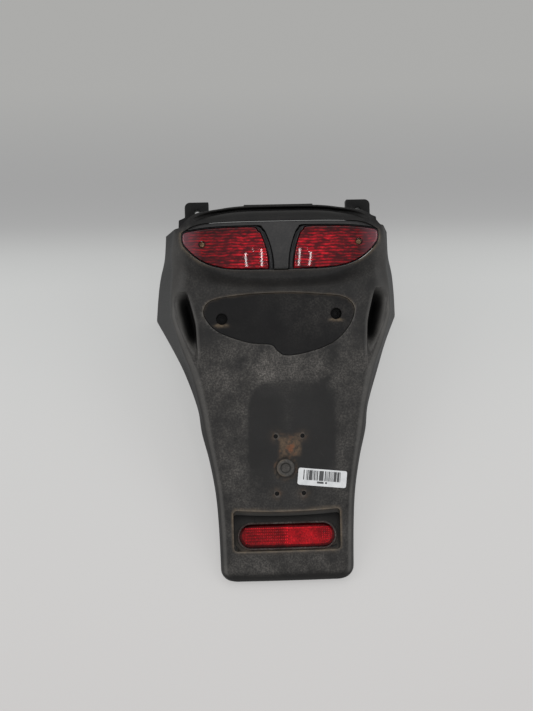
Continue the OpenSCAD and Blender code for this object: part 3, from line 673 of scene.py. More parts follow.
tongue = solid_piece("tongue", *prism(
    [[-38.5, shell_l - 3], [38.5, shell_l - 3], [38.5, shell_l + 3.5], [-38.5, shell_l + 3.5]], -30, -26.8))
parts.append(soften(tongue, 0.5))
shell = shade(merge(parts, "shell"), 34)


def to_panel(points):
    """Row frame in metres to the panel frame in mm."""
    x, y, z = np.moveaxis(np.asarray(points, float) * 1000, -1, 0)
    y, z = y + panel_back, z - panel_lift
    return np.stack([x, y * c25 + z * s25, -y * s25 + z * c25], -1)


def points_of(piece):
    co = np.zeros(len(piece.data.vertices) * 3, np.float32)
    piece.data.vertices.foreach_get("co", co)
    return co.reshape(-1, 3)


def paint(piece, name, values):
    """Stores a number for each vertex, for the materials to read."""
    store = piece.data.attributes.new(name, "FLOAT", "POINT")
    store.data.foreach_set("value", np.asarray(values, np.float32))


def near_outline(points, outline, reach):
    """1 on a closed outline, falling to 0 at reach."""
    best = np.full(len(points), 1e9)
    a, b = outline, np.roll(outline, -1, 0)
    for p, q in zip(a, b):
        d = q - p
        t = np.clip(((points - p) @ d) / max(d @ d, 1e-9), 0, 1)
        best = np.minimum(best, np.linalg.norm(points - p - t[:, None] * d, axis=1))
    return np.clip(1 - best / reach, 0, 1)


def blob(p, x, s, rx, rs):
    return np.exp(-((p[:, 0] - x) / rx) ** 2 - ((p[:, 1] - s) / rs) ** 2)


def lean_of(piece):
    """How squarely each vertex faces out of the panel: 1 is square on."""
    normals = np.zeros(len(piece.data.vertices) * 3, np.float32)
    piece.data.vertex_normals.foreach_get("vector", normals)
    return normals.reshape(-1, 3) @ np.array([0, -s25, c25])


# Masks for the materials: dust, stains, scuffs, worn edges with a painted sheen, painted shade in the
# hollows, and grime in seams
at = to_panel(points_of(shell))
flat = at[:, :2]
x, s = flat.T
surface = smooth((at[:, 2] + 24) / 12)
round_x, round_s = np.abs(x - 8) / 51, np.maximum(s - 175, 0) / 49
arch = smooth((1 - (round_x ** 3.5 + round_s ** 3.5) ** (1 / 3.5)) / 0.12) * smooth((s - 95) / 60)
dust = 0.24 + 0.68 * blob(at, 4, 238, 85, 26) + 0.3 * blob(at, -8, 195, 95, 60)
dust += 0.3 * blob(at, -58, 120, 16, 70)
dust += 0.3 * blob(at, 62, 110, 12, 70) + 0.5 * blob(at, 0, 18, 75, 16)
paint(shell, "dust", (np.clip(dust - 0.6 * arch, 0, 1) + 0.35 * blob(at, 4, 185, 6, 16)) * surface)
holes = sum(blob(at, *hole, 5.5, 5.5) for hole in plate_holes)
stain = smooth((14 - np.abs(x - plate_mid - 1)) / 5) * smooth((14 - np.abs(s - 149)) / 7)
around = np.hypot(x, s - buffer_s)
stain = np.clip(stain + 0.5 * holes + 0.55 * np.exp(-((around - 11.5) / 1.6) ** 2), 0, 1)
paint(shell, "stain", stain * surface)
scuff = blob(at, -51, 158, 14, 9) + 0.8 * blob(at, -74, 182, 4, 12) + 0.7 * blob(at, -105, 352, 5, 7)
scuff += 0.6 * blob(at, -8, 331, 10, 4) + 0.4 * blob(at, 30, 240, 30, 16)
paint(shell, "scuff", scuff * surface)
lean = lean_of(shell)
# The edge mask lightens the rolled edges as wear and as a painted sheen, and the flares as a painted sheen.
roll_wear_and_sheen = smooth((lean - 0.35) / 0.3) * smooth((0.97 - lean) / 0.12) * surface * smooth((335 - s) / 40)
flare_sheen = smooth((np.abs(x) - 100) / 10) * smooth((s - 255) / 25) * smooth((385 - s) / 20)
paint(shell, "edge", roll_wear_and_sheen + 0.5 * flare_sheen * smooth((lean - 0.15) / 0.2))
# Painted shade: the deep mask darkens the plate hole floors, a band under the lamp pod, flanks that turn
# away, the brow channel, the scoops, the pocket, the hatch wells, the ring round the buffer, the tail's
# underside and all faces low under the panel.
bores = sum(np.hypot(x - hole[0], s - hole[1]) < 2.9 for hole in plate_holes)
band = 0.6 * np.exp(-((s - lens_low(x) + 8) / 9) ** 2) * smooth((100 - np.abs(x)) / 25)
band += 0.5 * smooth((0.75 - lean) / 0.2) * smooth((240 - s) / 60) * smooth((np.abs(x) - 40) / 10)
band += 0.75 * smooth((s - 386) / 6)
in_scoop = smooth((np.abs(x) - 88) / 10) * smooth((124 - np.abs(x)) / 6) * smooth((s - 250) / 20)
band += 0.7 * in_scoop * smooth((325 - s) / 12) * smooth((-14 - at[:, 2]) / 8)
in_pocket = smooth(pocket_half + 0.5 - np.abs(x)) * smooth(s - pocket_low + 0.5)
in_pocket = in_pocket * smooth(pocket_high + 0.5 - s)
band += 0.75 * in_pocket * smooth((-1.0 - at[:, 2]) / 2) * (0.6 + 0.4 * smooth((-5.5 - at[:, 2]) / 0.6))
near_wells = sum(smooth((9 - np.hypot(x - well[0], s - well[1])) / 0.5) for well in hatch_wells)
band += near_wells * smooth((-5 - at[:, 2]) / 2)
band += 0.8 * np.exp(-((around - 10.8) / 0.9) ** 2) + 0.85 * smooth((12 - s) / 6)
band += bores * smooth(-0.2 - at[:, 2]) + smooth((-24 - at[:, 2]) / 10)
paint(shell, "deep", np.clip(band, 0, 1))
pocket_edge = np.concatenate([np.column_stack([across_pocket, pocket_low + corner]),
                              np.column_stack([across_pocket, pocket_high - corner - sag])[::-1]])
hatch_seam = near_outline(flat, grow(hatch_outline, hatch_gap), 2.2) * (0.15 + 0.6 * smooth((s - 285) / 20))
lamp_seam = near_outline(flat, lamp_outline(lamp_gap), 4.0) * (0.4 + 0.6 * smooth((np.abs(x) - 60) / 40))
seam = np.maximum(np.maximum(hatch_seam, lamp_seam * (s < 385)), 1.1 * near_outline(flat, pocket_edge, 3.4))
paint(shell, "seam", seam * (at[:, 2] > -12))

# Shared finishes: moulded grain, settled dust and rubbed streaks, each a group that the
# materials place with their own sizes.
def new_group(name, inputs, outputs):
    group = bpy.data.node_groups.new(name, "ShaderNodeTree")
    for label, kind, value in inputs:
        socket = group.interface.new_socket(label, in_out="INPUT", socket_type=kind)
        if value is not None:
            socket.default_value = value
    for label, kind in outputs:
        group.interface.new_socket(label, in_out="OUTPUT", socket_type=kind)
    return group, group.nodes.new("NodeGroupInput").outputs, group.nodes.new("NodeGroupOutput").inputs


def noise(tree, vector, scale, detail=2.0, rough=0.5, stretch=None):
    if stretch:
        vector = put(tree, "ShaderNodeMapping", {"Vector": vector, "Scale": stretch}).outputs[0]
    values = {"Vector": vector, "Detail": detail, "Roughness": rough, "Scale": scale}
    return put(tree, "ShaderNodeTexNoise", values).outputs["Fac"]


def mix(tree, factor, a, b, blend="MIX"):
    return put(tree, "ShaderNodeMix", {0: factor, 6: a, 7: b}, data_type="RGBA", blend_type=blend).outputs[2]


def shaded(colour, share):
    return tuple(share * c for c in colour[:3]) + (1,)


def relief(shader, height, strength, depth):
    """Bump on a shader from a height map, its depth in metres."""
    bump = put(shader.id_data, "ShaderNodeBump", {"Height": height, "Strength": strength, "Distance": depth})
    feed(shader, "Normal", bump.outputs[0])


def attribute(tree, name):
    return put(tree, "ShaderNodeAttribute", attribute_name=name).outputs["Fac"]


grain, into, outof = new_group(
    "moulded_grain", [("Vector", "NodeSocketVector", None), ("Size", "NodeSocketFloat", 900.0)],
    [("Height", "NodeSocketFloat"), ("Speckle", "NodeSocketFloat")])
pebbles = put(grain, "ShaderNodeTexVoronoi", {"Vector": into["Vector"], "Scale": into["Size"]},
              feature="SMOOTH_F1")
rough_noise = noise(grain, into["Vector"], into["Size"], 3.0, 0.6)
grain.links.new(plus(grain, times(grain, pebbles.outputs["Distance"], 0.6),
                          times(grain, rough_noise, 0.7)), outof["Height"])
grain.links.new(rough_noise, outof["Speckle"])

mask_inputs = [("Vector", "NodeSocketVector", None), ("Amount", "NodeSocketFloat", 0.5)]
settled, into, outof = new_group("settled_dust", mask_inputs, [("Mask", "NodeSocketFloat")])
clouds = ramp(settled, noise(settled, into["Vector"], 30.0, 6.0, 0.7), [(0.36, 0.05), (0.64, 1.0)])
specks = ramp(settled, noise(settled, into["Vector"], 520.0, 3.0, 0.75), [(0.42, 0.0), (0.66, 1.0)])
specks = plus(settled, times(settled, specks, 0.8), 0.22)
patchy = times(settled, clouds, specks)
settled.links.new(times(settled, patchy, into["Amount"], True), outof["Mask"])

rubbed, into, outof = new_group("rubbed_streaks", mask_inputs, [("Mask", "NodeSocketFloat")])
lines = noise(rubbed, into["Vector"], 22.0, 4.0, 0.75, (1.0, 14.0, 1.0))
where = noise(rubbed, into["Vector"], 9.0, 2.0, 0.5)
thin = ramp(rubbed, lines, [(0.0, 0.0), (0.66, 0.0), (0.72, 1.0), (1.0, 1.0)])
zone = ramp(rubbed, where, [(0.0, 0.0), (0.5, 0.0), (0.68, 1.0), (1.0, 1.0)])
rubbed.links.new(times(rubbed, times(rubbed, thin, zone), into["Amount"], True), outof["Mask"])


def placed(tree, group, vector, **values):
    return put(tree, "ShaderNodeGroup", {"Vector": vector, **values}, node_tree=group).outputs


def panel_place(tree, turn=0.0):
    """Object coordinates turned into the panel's frame, in metres."""
    here = put(tree, "ShaderNodeTexCoord").outputs["Object"]
    shift = Matrix.Rotation(-slope, 3, "X") @ Vector((0, panel_back / 1000, -panel_lift / 1000))
    node = put(tree, "ShaderNodeMapping", {"Vector": here, "Location": shift, "Rotation": (-slope, 0, 0)})
    if turn:
        node = put(tree, "ShaderNodeMapping", {"Vector": node.outputs[0], "Rotation": (0, 0, turn)})
    return node.outputs[0]


def moulded_plastic(name, colour, dusty, grain_size=1300.0, rough=0.5, streaks=0.4, dust=0.12, shine=0.2,
                    masks=False):
    """Moulded charcoal plastic with grain, dust and rubbed streaks, and with masks, painted wear, stains and
    seam grime, a painted sheen on edges and painted shade in hollows.
    """
    dust_colour, grain_depth = srgb(124, 120, 115), 0.00006
    mat, tree, shader = new_material(name)
    shader.inputs["Specular IOR Level"].default_value = shine
    vector = panel_place(tree)
    texture = placed(tree, grain, vector, Size=grain_size)
    amount = dust
    if masks:
        amount = plus(tree, times(tree, attribute(tree, "dust"), 0.75), dust)
    dusty_mask = placed(tree, settled, vector, Amount=amount)["Mask"]
    tone = noise(tree, vector, 16.0, 5.0, 0.65)
    base = ramp(tree, tone, [(0.32, shaded(colour, 0.72)), (0.68, shaded(colour, 1.3))])
    base = mix(tree, times(tree, texture["Speckle"], 0.3), base, dusty)
    streak = streaks
    if masks:
        # The edge mask lightens worn edges and paints a sheen on rolls and flares as a painted highlight.
        base = mix(tree, times(tree, attribute(tree, "edge"), 0.5), base, srgb(92, 91, 89))
        streak = plus(tree, times(tree, attribute(tree, "scuff"), 2.2), streaks)
    base = mix(tree, dusty_mask, base, dust_colour)
    streak_mask = placed(tree, rubbed, panel_place(tree, 1.1), Amount=streak)["Mask"]
    base = mix(tree, times(tree, streak_mask, 0.6), base, srgb(132, 129, 122))
    if masks:
        stain = times(tree, attribute(tree, "stain"),
                          ramp(tree, noise(tree, vector, 190.0, 5.0, 0.7), [(0.36, 0.15), (0.6, 1.0)]))
        base = mix(tree, times(tree, stain, 0.6, True), base, srgb(112, 92, 72))
        rust = times(tree, math_node(tree, "POWER", attribute(tree, "stain"), 2.0),
                         ramp(tree, noise(tree, vector, 95.0, 3.0, 0.6), [(0.52, 0.0), (0.64, 0.6)]))
        base = mix(tree, rust, base, srgb(116, 66, 40))
        grime = times(tree, math_node(tree, "POWER", attribute(tree, "seam"), 1.6),
                          ramp(tree, noise(tree, vector, 90.0, 4.0, 0.7), [(0.3, 0.15), (0.65, 1.0)]))
        base = mix(tree, times(tree, grime, 0.6, True), base, srgb(128, 112, 92))
        # Painted shade: the deep mask darkens the colour in hollows and on faces turned away.
        base = mix(tree, attribute(tree, "deep"), base, shaded(colour, 0.22))
    feed(shader, "Base Color", base)
    gloss = ramp(tree, texture["Speckle"], [(0.3, rough - 0.06), (0.7, rough + 0.12)])
    feed(shader, "Roughness", mix(tree, dusty_mask, gloss, (0.85, 0.85, 0.85, 1)))
    relief(shader, texture["Height"], 0.6, grain_depth)
    return mat


def finish_piece(piece, material, slot, *nodes):
    """Gives a piece its material and hides the CAD nodes that it stands for; its slot is not used."""
    piece.data.materials.clear()
    piece.data.materials.append(material)
    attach(piece, "root")
    if nodes:
        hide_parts(*nodes)


charcoal = moulded_plastic("charcoal_plastic", srgb(24, 24, 25), srgb(58, 56, 53), dust=0.02, streaks=0.25,
                           masks=True)
finish_piece(shell, charcoal, "shell", "fender_shell")

# Lamp tray: black plastic tub that closes the lamp unit behind the lenses. It keeps its
# drawn shape and gets small rounds on its edges.
def from_cad(node, name, width):
    """A copy of a CAD node with its triangles merged and its edges rounded."""
    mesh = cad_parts[node].data.copy()
    mesh.name = name
    work = bmesh.new()
    work.from_mesh(mesh)
    bmesh.ops.remove_doubles(work, verts=work.verts, dist=0.00001)
    bmesh.ops.dissolve_limit(work, angle_limit=math.radians(1.5), verts=work.verts, edges=work.edges)
    work.to_mesh(mesh)
    work.free()
    piece = add_piece(name, mesh)
    if width:
        soften(piece, width, 40)
    return piece


black_plastic = moulded_plastic("tray_plastic", srgb(15, 15, 16), srgb(30, 29, 28), rough=0.42, streaks=0.15,
                                dust=0.04, shine=0.12)
tray = shade(from_cad("lamp_housing", "lamp_tray", 0.25))
finish_piece(tray, black_plastic, "lamp_tray", "lamp_housing")

# Bezel: T-shaped bar between the lenses, moulded in one with the band above them. It is
# coarse grained dark plastic that follows the drum shape of the lamp face.
lamp_mid, lamp_top, lamp_r, lens_bar_gap, bar_half = lamp_s + lens_h / 2, pod_h + 3, 620.0, 6.4, 7.6


def lamp_face(x, s):
    """Height of the drum-shaped lamp face."""
    v = s - lamp_mid
    return lamp_top - lamp_r + np.sqrt((lamp_r - 4.5 * v * v / 784) ** 2 - x * x)


def lens_inner(s):
    return bar_half + lens_bar_gap + 11 * np.clip((s - lamp_s) / lens_h, 0, 1) ** 2


def add_loop(work, points):
    return [work.verts.new(p) for p in points]


def bridge(work, loops):
    """Joins each loop of vertices to the next."""
    for a, b in zip(loops[:-1], loops[1:]):
        n = len(a)
        for j in range(n):
            work.faces.new((a[j], a[(j + 1) % n], b[(j + 1) % n], b[j]))


def rolled_rim(work, outline, round_r, steps):
    """Loops round a rounded edge, from the side to the face."""
    turns = [math.pi / 2 * i / steps for i in range(steps + 1)]
    return [add_loop(work, at_height(grow(outline, -round_r * (1 - math.cos(q))),
                                     -round_r * (1 - math.sin(q)))) for q in turns]


def cross_cut(work, faces, cuts_across, cuts_along):
    """Cuts flat faces along a grid, so that they can follow a curved face."""
    for normal, places in ((Vector((1, 0, 0)), cuts_across), (Vector((0, 1, 0)), cuts_along)):
        for place in places:
            geom = set(faces)
            for f in faces:
                geom.update(f.edges)
                geom.update(f.verts)
            made = bmesh.ops.bisect_plane(work, geom=list(geom), plane_co=normal * place, plane_no=normal,
                                          dist=1e-5)
            faces = [g for g in made["geom"] if isinstance(g, bmesh.types.BMFace)]


def seated_mesh(name, work):
    """Ends the work on a mesh in the panel frame, and makes it a mesh in metres."""
    bmesh.ops.recalc_face_normals(work, faces=work.faces)
    for v in work.verts:
        v.co = Vector(seat(v.co))
    mesh = bpy.data.meshes.new(name)
    work.to_mesh(mesh)
    work.free()
    return mesh


def drape(name, outline, lower, low_h, round_r):
    """Closed solid over an outline: face on top lowered by lower, rounded edge, flat foot at low_h."""
    spacing, steps, foot_mark = 3.0, 4, -1000
    work = bmesh.new()
    rim = rolled_rim(work, outline, round_r, steps)
    foot = add_loop(work, at_height(outline, foot_mark))
    bridge(work, [foot] + rim)
    work.faces.new(foot[::-1])
    top = work.faces.new(rim[-1])
    bmesh.ops.triangulate(work, faces=[top])
    top_faces = [f for f in work.faces if all(v.co.z == rim[-1][0].co.z for v in f.verts)]
    cross_cut(work, top_faces, *[np.arange(side.min() + spacing, side.max(), spacing) for side in outline.T])
    for v in work.verts:
        x, s, z = v.co
        v.co.z = low_h if z < foot_mark / 2 else lamp_face(x, s) - lower + z
    return seated_mesh(name, work)


def half_bezel():
    g, top = 2.0, lamp_s + lens_h
    w = np.linspace(0, 0.88, 24)
    lift = np.interp(w, [0, 0.8, 0.88], [1, 1, 0.8]) * brow_band
    band = np.column_stack([w * lamp_half, lens_high(w * lamp_half) + lift + 1.5])
    end = [[w * lamp_half, lens_high(w * lamp_half) + g + tip] for w, tip in ((0.94, 1.0), (0.945, 0.1))]
    w = np.linspace(0.93, 0.3, 20)
    under = np.column_stack([w * lamp_half, lens_high(w * lamp_half) + g])
    bar_top = lens_inner(top) - lens_bar_gap
    bend = [[bar_top + 4.5, top + g], [bar_top + 2, top + g - 0.6], [bar_top + 0.4, top - 1.2]]
    s = lamp_s + np.linspace(lens_h - 4, 0, 14)
    bar = np.column_stack([lens_inner(s) - lens_bar_gap, s])
    return np.concatenate([band, end, under, bend, bar])


half = half_bezel()
left = half[::-1] * [-1, 1]
bezel_outline = np.concatenate([half, left[left[:, 0] < 0]])
bezel = shade(add_piece("lamp_bezel", drape("lamp_bezel", bezel_outline, 0.3, 2.0, 0.5)), 50)
bezel_plastic = moulded_plastic("bezel_plastic", srgb(32, 32, 33), srgb(84, 84, 84), grain_size=900.0,
                                streaks=0.1, dust=0.1)
finish_piece(bezel, bezel_plastic, "bezel", "lamp_bezel")

# Lenses: clear red acrylic mouldings, smooth outside and fluted inside. Each has a
# recessed screw well near its outer end.
def right_lens(g, gi):
    """Outline of the right lens, clockwise, grown by g, and by gi beside the bar."""
    top = lamp_s + lens_h
    s = np.linspace(lamp_s - g, top - 6.5, 26)
    inner_side = np.column_stack([lens_inner(s) - gi, s])
    start = lens_inner(top)
    bend = [[start + 0.1 - gi, top - 4.2 + g * 0.2], [start + 0.7 - gi, top - 2.3 + g * 0.4],
            [start + 1.9 - gi * 0.7, top - 1.0 + g * 0.7], [start + 3.6 - gi * 0.4, top - 0.3 + g * 0.9]]
    w = np.linspace(0.31, 0.97, 40)
    upper = np.column_stack([w * lamp_half, lens_high(w * lamp_half) + g])
    big, end_high = g > 0, lens_high(lamp_half)
    corner = [[lamp_half - 1.0 + g * 0.7, end_high - 0.2 + g * (0.75 if big else 1.0)],
              [lamp_half - 0.2 + g * 0.9, end_high - 1.4 + g * (0.4 if big else 0.9)],
              [lamp_half + g, end_high - 3.2 + 0.7 * min(0, g)], [lamp_half + g, lens_low(lamp_half) + 2]]
    w = np.concatenate([[0.99, 0.98, 0.97, 0.955], np.linspace(0.94, 0.5, 24), np.linspace(0.48, 0.16, 12)])
    q = np.arctan(5 * lens_rise / lamp_half * w ** 4)
    lower = np.column_stack([w * lamp_half + g * np.sin(q), lens_low(w * lamp_half) - g * np.cos(q)])
    lower = lower[lower[:, 0] > lens_inner(lamp_s) - gi + 1.5]
    return np.concatenate([inner_side, bend, upper, corner, lower])


def face_loop(outline, lower):
    return np.column_stack([outline, lamp_face(outline[:, 0], outline[:, 1]) - lower])


def same_count(loops):
    """Outlines resampled to one number of points by their share of length."""
    out = []
    for p in loops:
        closed = np.concatenate([p, p[:1]])
        d = np.concatenate([[0], np.cumsum(np.linalg.norm(np.diff(closed, axis=0), axis=1))])
        t = np.linspace(0, d[-1], 241)[:-1]
        out.append(np.column_stack([np.interp(t, d, closed[:, i]) for i in (0, 1)]))
    return out


def towards_middle(outline, share):
    """Points drawn towards the long middle line of a lens."""
    x = np.clip(outline[:, 0], 34, 84)
    middle = np.column_stack([x, (lens_low(x) + lens_high(x)) / 2])
    return outline + (middle - outline) * share


def capped_loops(loops):
    """Rings of points joined in order, closed by a face at each end."""
    count, n = len(loops), len(loops[0])
    return np.concatenate(loops), grid_faces(count, n, closed=True) + end_faces(count, n)


red_lens, tree, shader = new_material("red_lens", Roughness=0.035)
shader.inputs["Specular IOR Level"].default_value = 0.3
vector = panel_place(tree)
part = put(tree, "ShaderNodeSeparateXYZ", {"Vector": vector})
flute_pitch = 0.0032
wavy = noise(tree, vector, 45.0, 2.0, 0.5, (1.0, 0.6, 1.0))
rows = plus(tree, times(tree, part.outputs["Y"], 2 * math.pi / flute_pitch), times(tree, wavy, 9.0))
rows = plus(tree, times(tree, math_node(tree, "SINE", rows), 0.5), 0.5)
row_look = ramp(tree, rows, [(0.0, 0.35), (0.35, 0.8), (1.0, 1.0)])
blocks = ramp(tree, noise(tree, vector, 290.0, 2.0, 0.6, (0.42, 1.0, 1.0)),
              [(0.34, 0.22), (0.5, 0.6), (0.66, 1.0)])
glowing = ramp(tree, noise(tree, vector, 30.0, 2.0, 0.5), [(0.3, 0.5), (0.7, 1.0)])
light = times(tree, times(tree, row_look, blocks), glowing)
red = ramp(tree, light, [(0.0, srgb(38, 2, 8)), (0.3, srgb(92, 5, 16)), (0.7, srgb(186, 10, 30)),
                         (1.0, srgb(236, 30, 46))])
away_x = times(tree, math_node(tree, "ABSOLUTE", part.outputs["X"]), 9.4)
outer_dark = ramp(tree, away_x, [(0.1, 1.0), (0.5, 0.9), (0.75, 0.55), (1.0, 0.4)])
red = mix(tree, 1.0, red, outer_dark, "MULTIPLY")
up_lens = times(tree, math_node(tree, "SUBTRACT", part.outputs["Y"], 0.342), 22.0)
upper_dark = ramp(tree, up_lens, [(0.0, 0.75), (0.2, 1.0), (0.72, 1.0), (0.95, 0.35)])
red = mix(tree, 1.0, red, upper_dark, "MULTIPLY")
# Painted reflection: a pale pink haze is mixed into the outer ends of each lens.
feed(shader, "Base Color", mix(tree, ramp(tree, away_x, [(0.8, 0.0), (1.0, 0.4)]), red, srgb(140, 96, 106)))
relief(shader, rows, 0.014, 0.00025)

lens_round, lens_wall, screw_x, screw_s = 1.1, 2.4, 85.0, lamp_mid + 5
base = same_count([right_lens(0, 0)])[0]
ground, inside = grow(base, -lens_round), grow(base, -2.2)
# From the middle of the outer face to its rim, round the edge, and back inside to the middle
loops = [face_loop(towards_middle(ground, t), 0) for t in (0.8, 0.7, 0.6, 0.5, 0.4, 0.3, 0.2, 0.12, 0.05)]
loops.append(face_loop(ground, 0))
for q in np.radians((67, 45, 22, 0)):
    loops.append(face_loop(grow(base, -lens_round * (1 - math.cos(q))), lens_round * (1 - math.sin(q))))
loops += [at_height(base, 2.0), at_height(inside, 2.0)]
loops += [face_loop(towards_middle(inside, t), lens_wall) for t in (0.0, 0.2, 0.4, 0.6, 0.78)]
verts, lens_faces = capped_loops(loops)
well_rim = [(5.5, 0.3), (4.0, 0.3)]
for side, label in ((-1, "left"), (1, "right")):
    lens = solid_piece("lens", verts * [side, 1, 1], lens_faces)
    cut(lens, [bore(side * screw_x, screw_s, 4.0, 4.0, 40)])
    rings = turned(side * screw_x, screw_s, [(5.5, 2.0)])
    rings += [face_loop(circle(side * screw_x, screw_s, r), lower) for r, lower in well_rim]
    rings += turned(side * screw_x, screw_s, [(4.0, 4.0), (2.2, 4.0), (2.2, 2.0)])
    lens = shade(merge([lens, solid_piece("well", *ring_loops(rings))], label + "_lens"), 40)
    finish_piece(lens, red_lens, "lens", "lens_" + label)

# Seals: glossy black rubber strips pressed into the gap round each lens. They are broad
# beside the bar and thin elsewhere.
rubber, tree, shader = new_material("seal_rubber", Roughness=0.3)
shader.inputs["Specular IOR Level"].default_value = 0.25
vector = panel_place(tree)
feed(shader, "Base Color", ramp(tree, noise(tree, vector, 200.0, 3.0, 0.6),
                                [(0.3, srgb(12, 12, 14)), (0.7, srgb(24, 24, 26))]))
relief(shader, noise(tree, vector, 300.0, 3.0), 0.3, 0.0001)
# Share of the strip's width, and how far its crown lies under the lamp face
seal_crown = [(0.0, 2.4), (0.12, 1.8), (0.32, 1.45), (0.5, 1.4), (0.68, 1.45), (0.88, 1.8), (1.0, 2.4)]
seal_w, seal_bar_w, seal_foot = 1.2, 5.6, 2.0
rings = same_count([right_lens(fit_gap + t * seal_w, fit_gap + t * seal_bar_w) for t, _ in seal_crown])
loops = [at_height(rings[0], seal_foot)] + [face_loop(o, lower) for o, (_, lower) in zip(rings, seal_crown)]
verts, seal_faces = ring_loops(loops + [at_height(rings[-1], seal_foot)])
for side, label in ((-1, "left"), (1, "right")):
    seal = shade(solid_piece("seal_" + label, verts * [side, 1, 1], seal_faces), 50)
    finish_piece(seal, rubber, "seal", "lens_seal_" + label)

# Reflector bowls, bulbs and bulb holders: bright sprayed liners with a clear bulb each,
# held from behind in a black twist-in holder. They keep their drawn shapes.
bright, tree, shader = new_material("bright_liner", Metallic=1.0)
vector = panel_place(tree)
feed(shader, "Base Color", ramp(tree, noise(tree, vector, 90.0, 4.0),
                                [(0.3, srgb(178, 178, 182)), (0.7, srgb(206, 206, 208))]))
feed(shader, "Roughness", ramp(tree, noise(tree, vector, 250.0, 3.0), [(0.3, 0.22), (0.7, 0.36)]))
bulb_glass, tree, shader = new_material("bulb_glass", Roughness=0.08, Coat_Weight=0.5)
feed(shader, "Base Color", ramp(tree, noise(tree, panel_place(tree), 120.0, 2.0),
                                [(0.3, srgb(206, 200, 184)), (0.7, srgb(232, 226, 210))]))
for label in ("left", "right"):
    bowl = shade(from_cad("reflector_bowl_" + label, "bowl_" + label, 0.15))
    finish_piece(bowl, bright, "bowl", "reflector_bowl_" + label)
    bulb = shade(from_cad("bulb_" + label, "bulb_" + label, 0), 60)
    finish_piece(bulb, bulb_glass, "bulb", "bulb_" + label)
    holder = shade(from_cad("bulb_holder_" + label, "holder_" + label, 0.3))
    finish_piece(holder, black_plastic, "holder", "bulb_holder_" + label)

# Lens screws: small steel pan heads at the bottom of the lens wells, brown with rust.
# They hold the lenses to the tray.
rusty, tree, shader = new_material("rusty_steel", Metallic=0.35)
vector = panel_place(tree)
patch = noise(tree, vector, 420.0, 4.0, 0.7)
feed(shader, "Base Color", ramp(tree, patch, [(0.3, srgb(92, 74, 60)), (0.5, srgb(150, 122, 92)),
                                              (0.7, srgb(176, 156, 128))]))
feed(shader, "Roughness", ramp(tree, patch, [(0.3, 0.8), (0.7, 0.45)]))
relief(shader, patch, 0.6, 0.0001)
screws = shade(from_cad("lens_screws", "screws", 0.12))
finish_piece(screws, rusty, "screw", "lens_screws")

# Hatch cover: flush moulded plastic cover over the wheel-arch access. It lies on the ledge
# of its frame and has two deep wells for screws.
work = bmesh.new()
hatch_back = at_height(hatch_outline, -hatch_t)
rim = [add_loop(work, hatch_back)] + rolled_rim(work, hatch_outline, 0.6, 3)
bridge(work, rim)
back = add_loop(work, hatch_back)
well_r, screw_r, well_foot = well_d / 2, 2.5, -well_depth - 2
well_profile = [(well_r + 1.1, 0), (well_r + 0.6, -0.12), (well_r + 0.2, -0.45), (well_r, -1.0),
                (well_r - 0.1, -well_depth), (screw_r, -well_depth), (screw_r, well_foot)]
outside_profile = [(screw_r, well_foot), (well_r + 1.5, well_foot), (well_r + 1.5, -hatch_t)]
wells, well_backs = [], []
for well in hatch_wells:
    inner_loops = [add_loop(work, ring) for ring in turned(*well, well_profile)]
    bridge(work, inner_loops)
    outer_loops = [add_loop(work, ring) for ring in turned(*well, outside_profile)]
    bridge(work, outer_loops)
    wells.append(inner_loops[0])
    well_backs.append(outer_loops[-1])
for outer_loop, holes in ((rim[-1], wells), (back, well_backs)):
    edges = []
    for loop in [outer_loop] + holes:
        for a, b in zip(loop, loop[1:] + loop[:1]):
            edges.append(work.edges.get((a, b)) or work.edges.new((a, b)))
    made = bmesh.ops.triangle_fill(work, edges=edges, use_beauty=True)
    if outer_loop is rim[-1]:
        top_faces = [g for g in made["geom"] if isinstance(g, bmesh.types.BMFace)]
        cross_cut(work, top_faces, np.arange(-84, 80, 4.0), np.arange(250, 316, 4.0))
bmesh.ops.remove_doubles(work, verts=work.verts, dist=0.0005)
for v in work.verts:
    v.co.z += float(crown(v.co.x)) if v.co.z > -4 else 0
hatch = shade(add_piece("hatch_cover", seated_mesh("hatch_cover", work)), 40)
at = to_panel(points_of(hatch))
paint(hatch, "dust", 0.25 * blob(at, 40, 300, 50, 30))
# Painted highlight: a pale crescent on the lower lip of each well, laid in through the seam mask.
lip_highlight = sum(blob(at, x - 0.5, s - 6.6, 6.5, 1.7) for x, s in hatch_wells)
paint(hatch, "scuff", 0.4 * blob(at, 30, 285, 40, 12))
# Painted shade: the deep mask darkens the inside of the wells.
inside_well = sum(np.hypot(at[:, 0] - x, at[:, 1] - s) < well_d / 2 + 0.05 for x, s in hatch_wells)
paint(hatch, "deep", inside_well * smooth((-0.6 - at[:, 2]) / 1.5))
edge_dirt = 0.5 * near_outline(at[:, :2], hatch_outline, 1.8) * smooth((at[:, 1] - 285) / 20)
paint(hatch, "seam", np.clip(edge_dirt + 2.0 * lip_highlight * (at[:, 2] > -5), 0, 1))
hatch_plastic = moulded_plastic("hatch_plastic", srgb(15, 15, 16), srgb(40, 39, 39), rough=0.46, streaks=0.3,
                                dust=0.02, shine=0.12, masks=True)
finish_piece(hatch, hatch_plastic, "hatch", "hatch_cover")

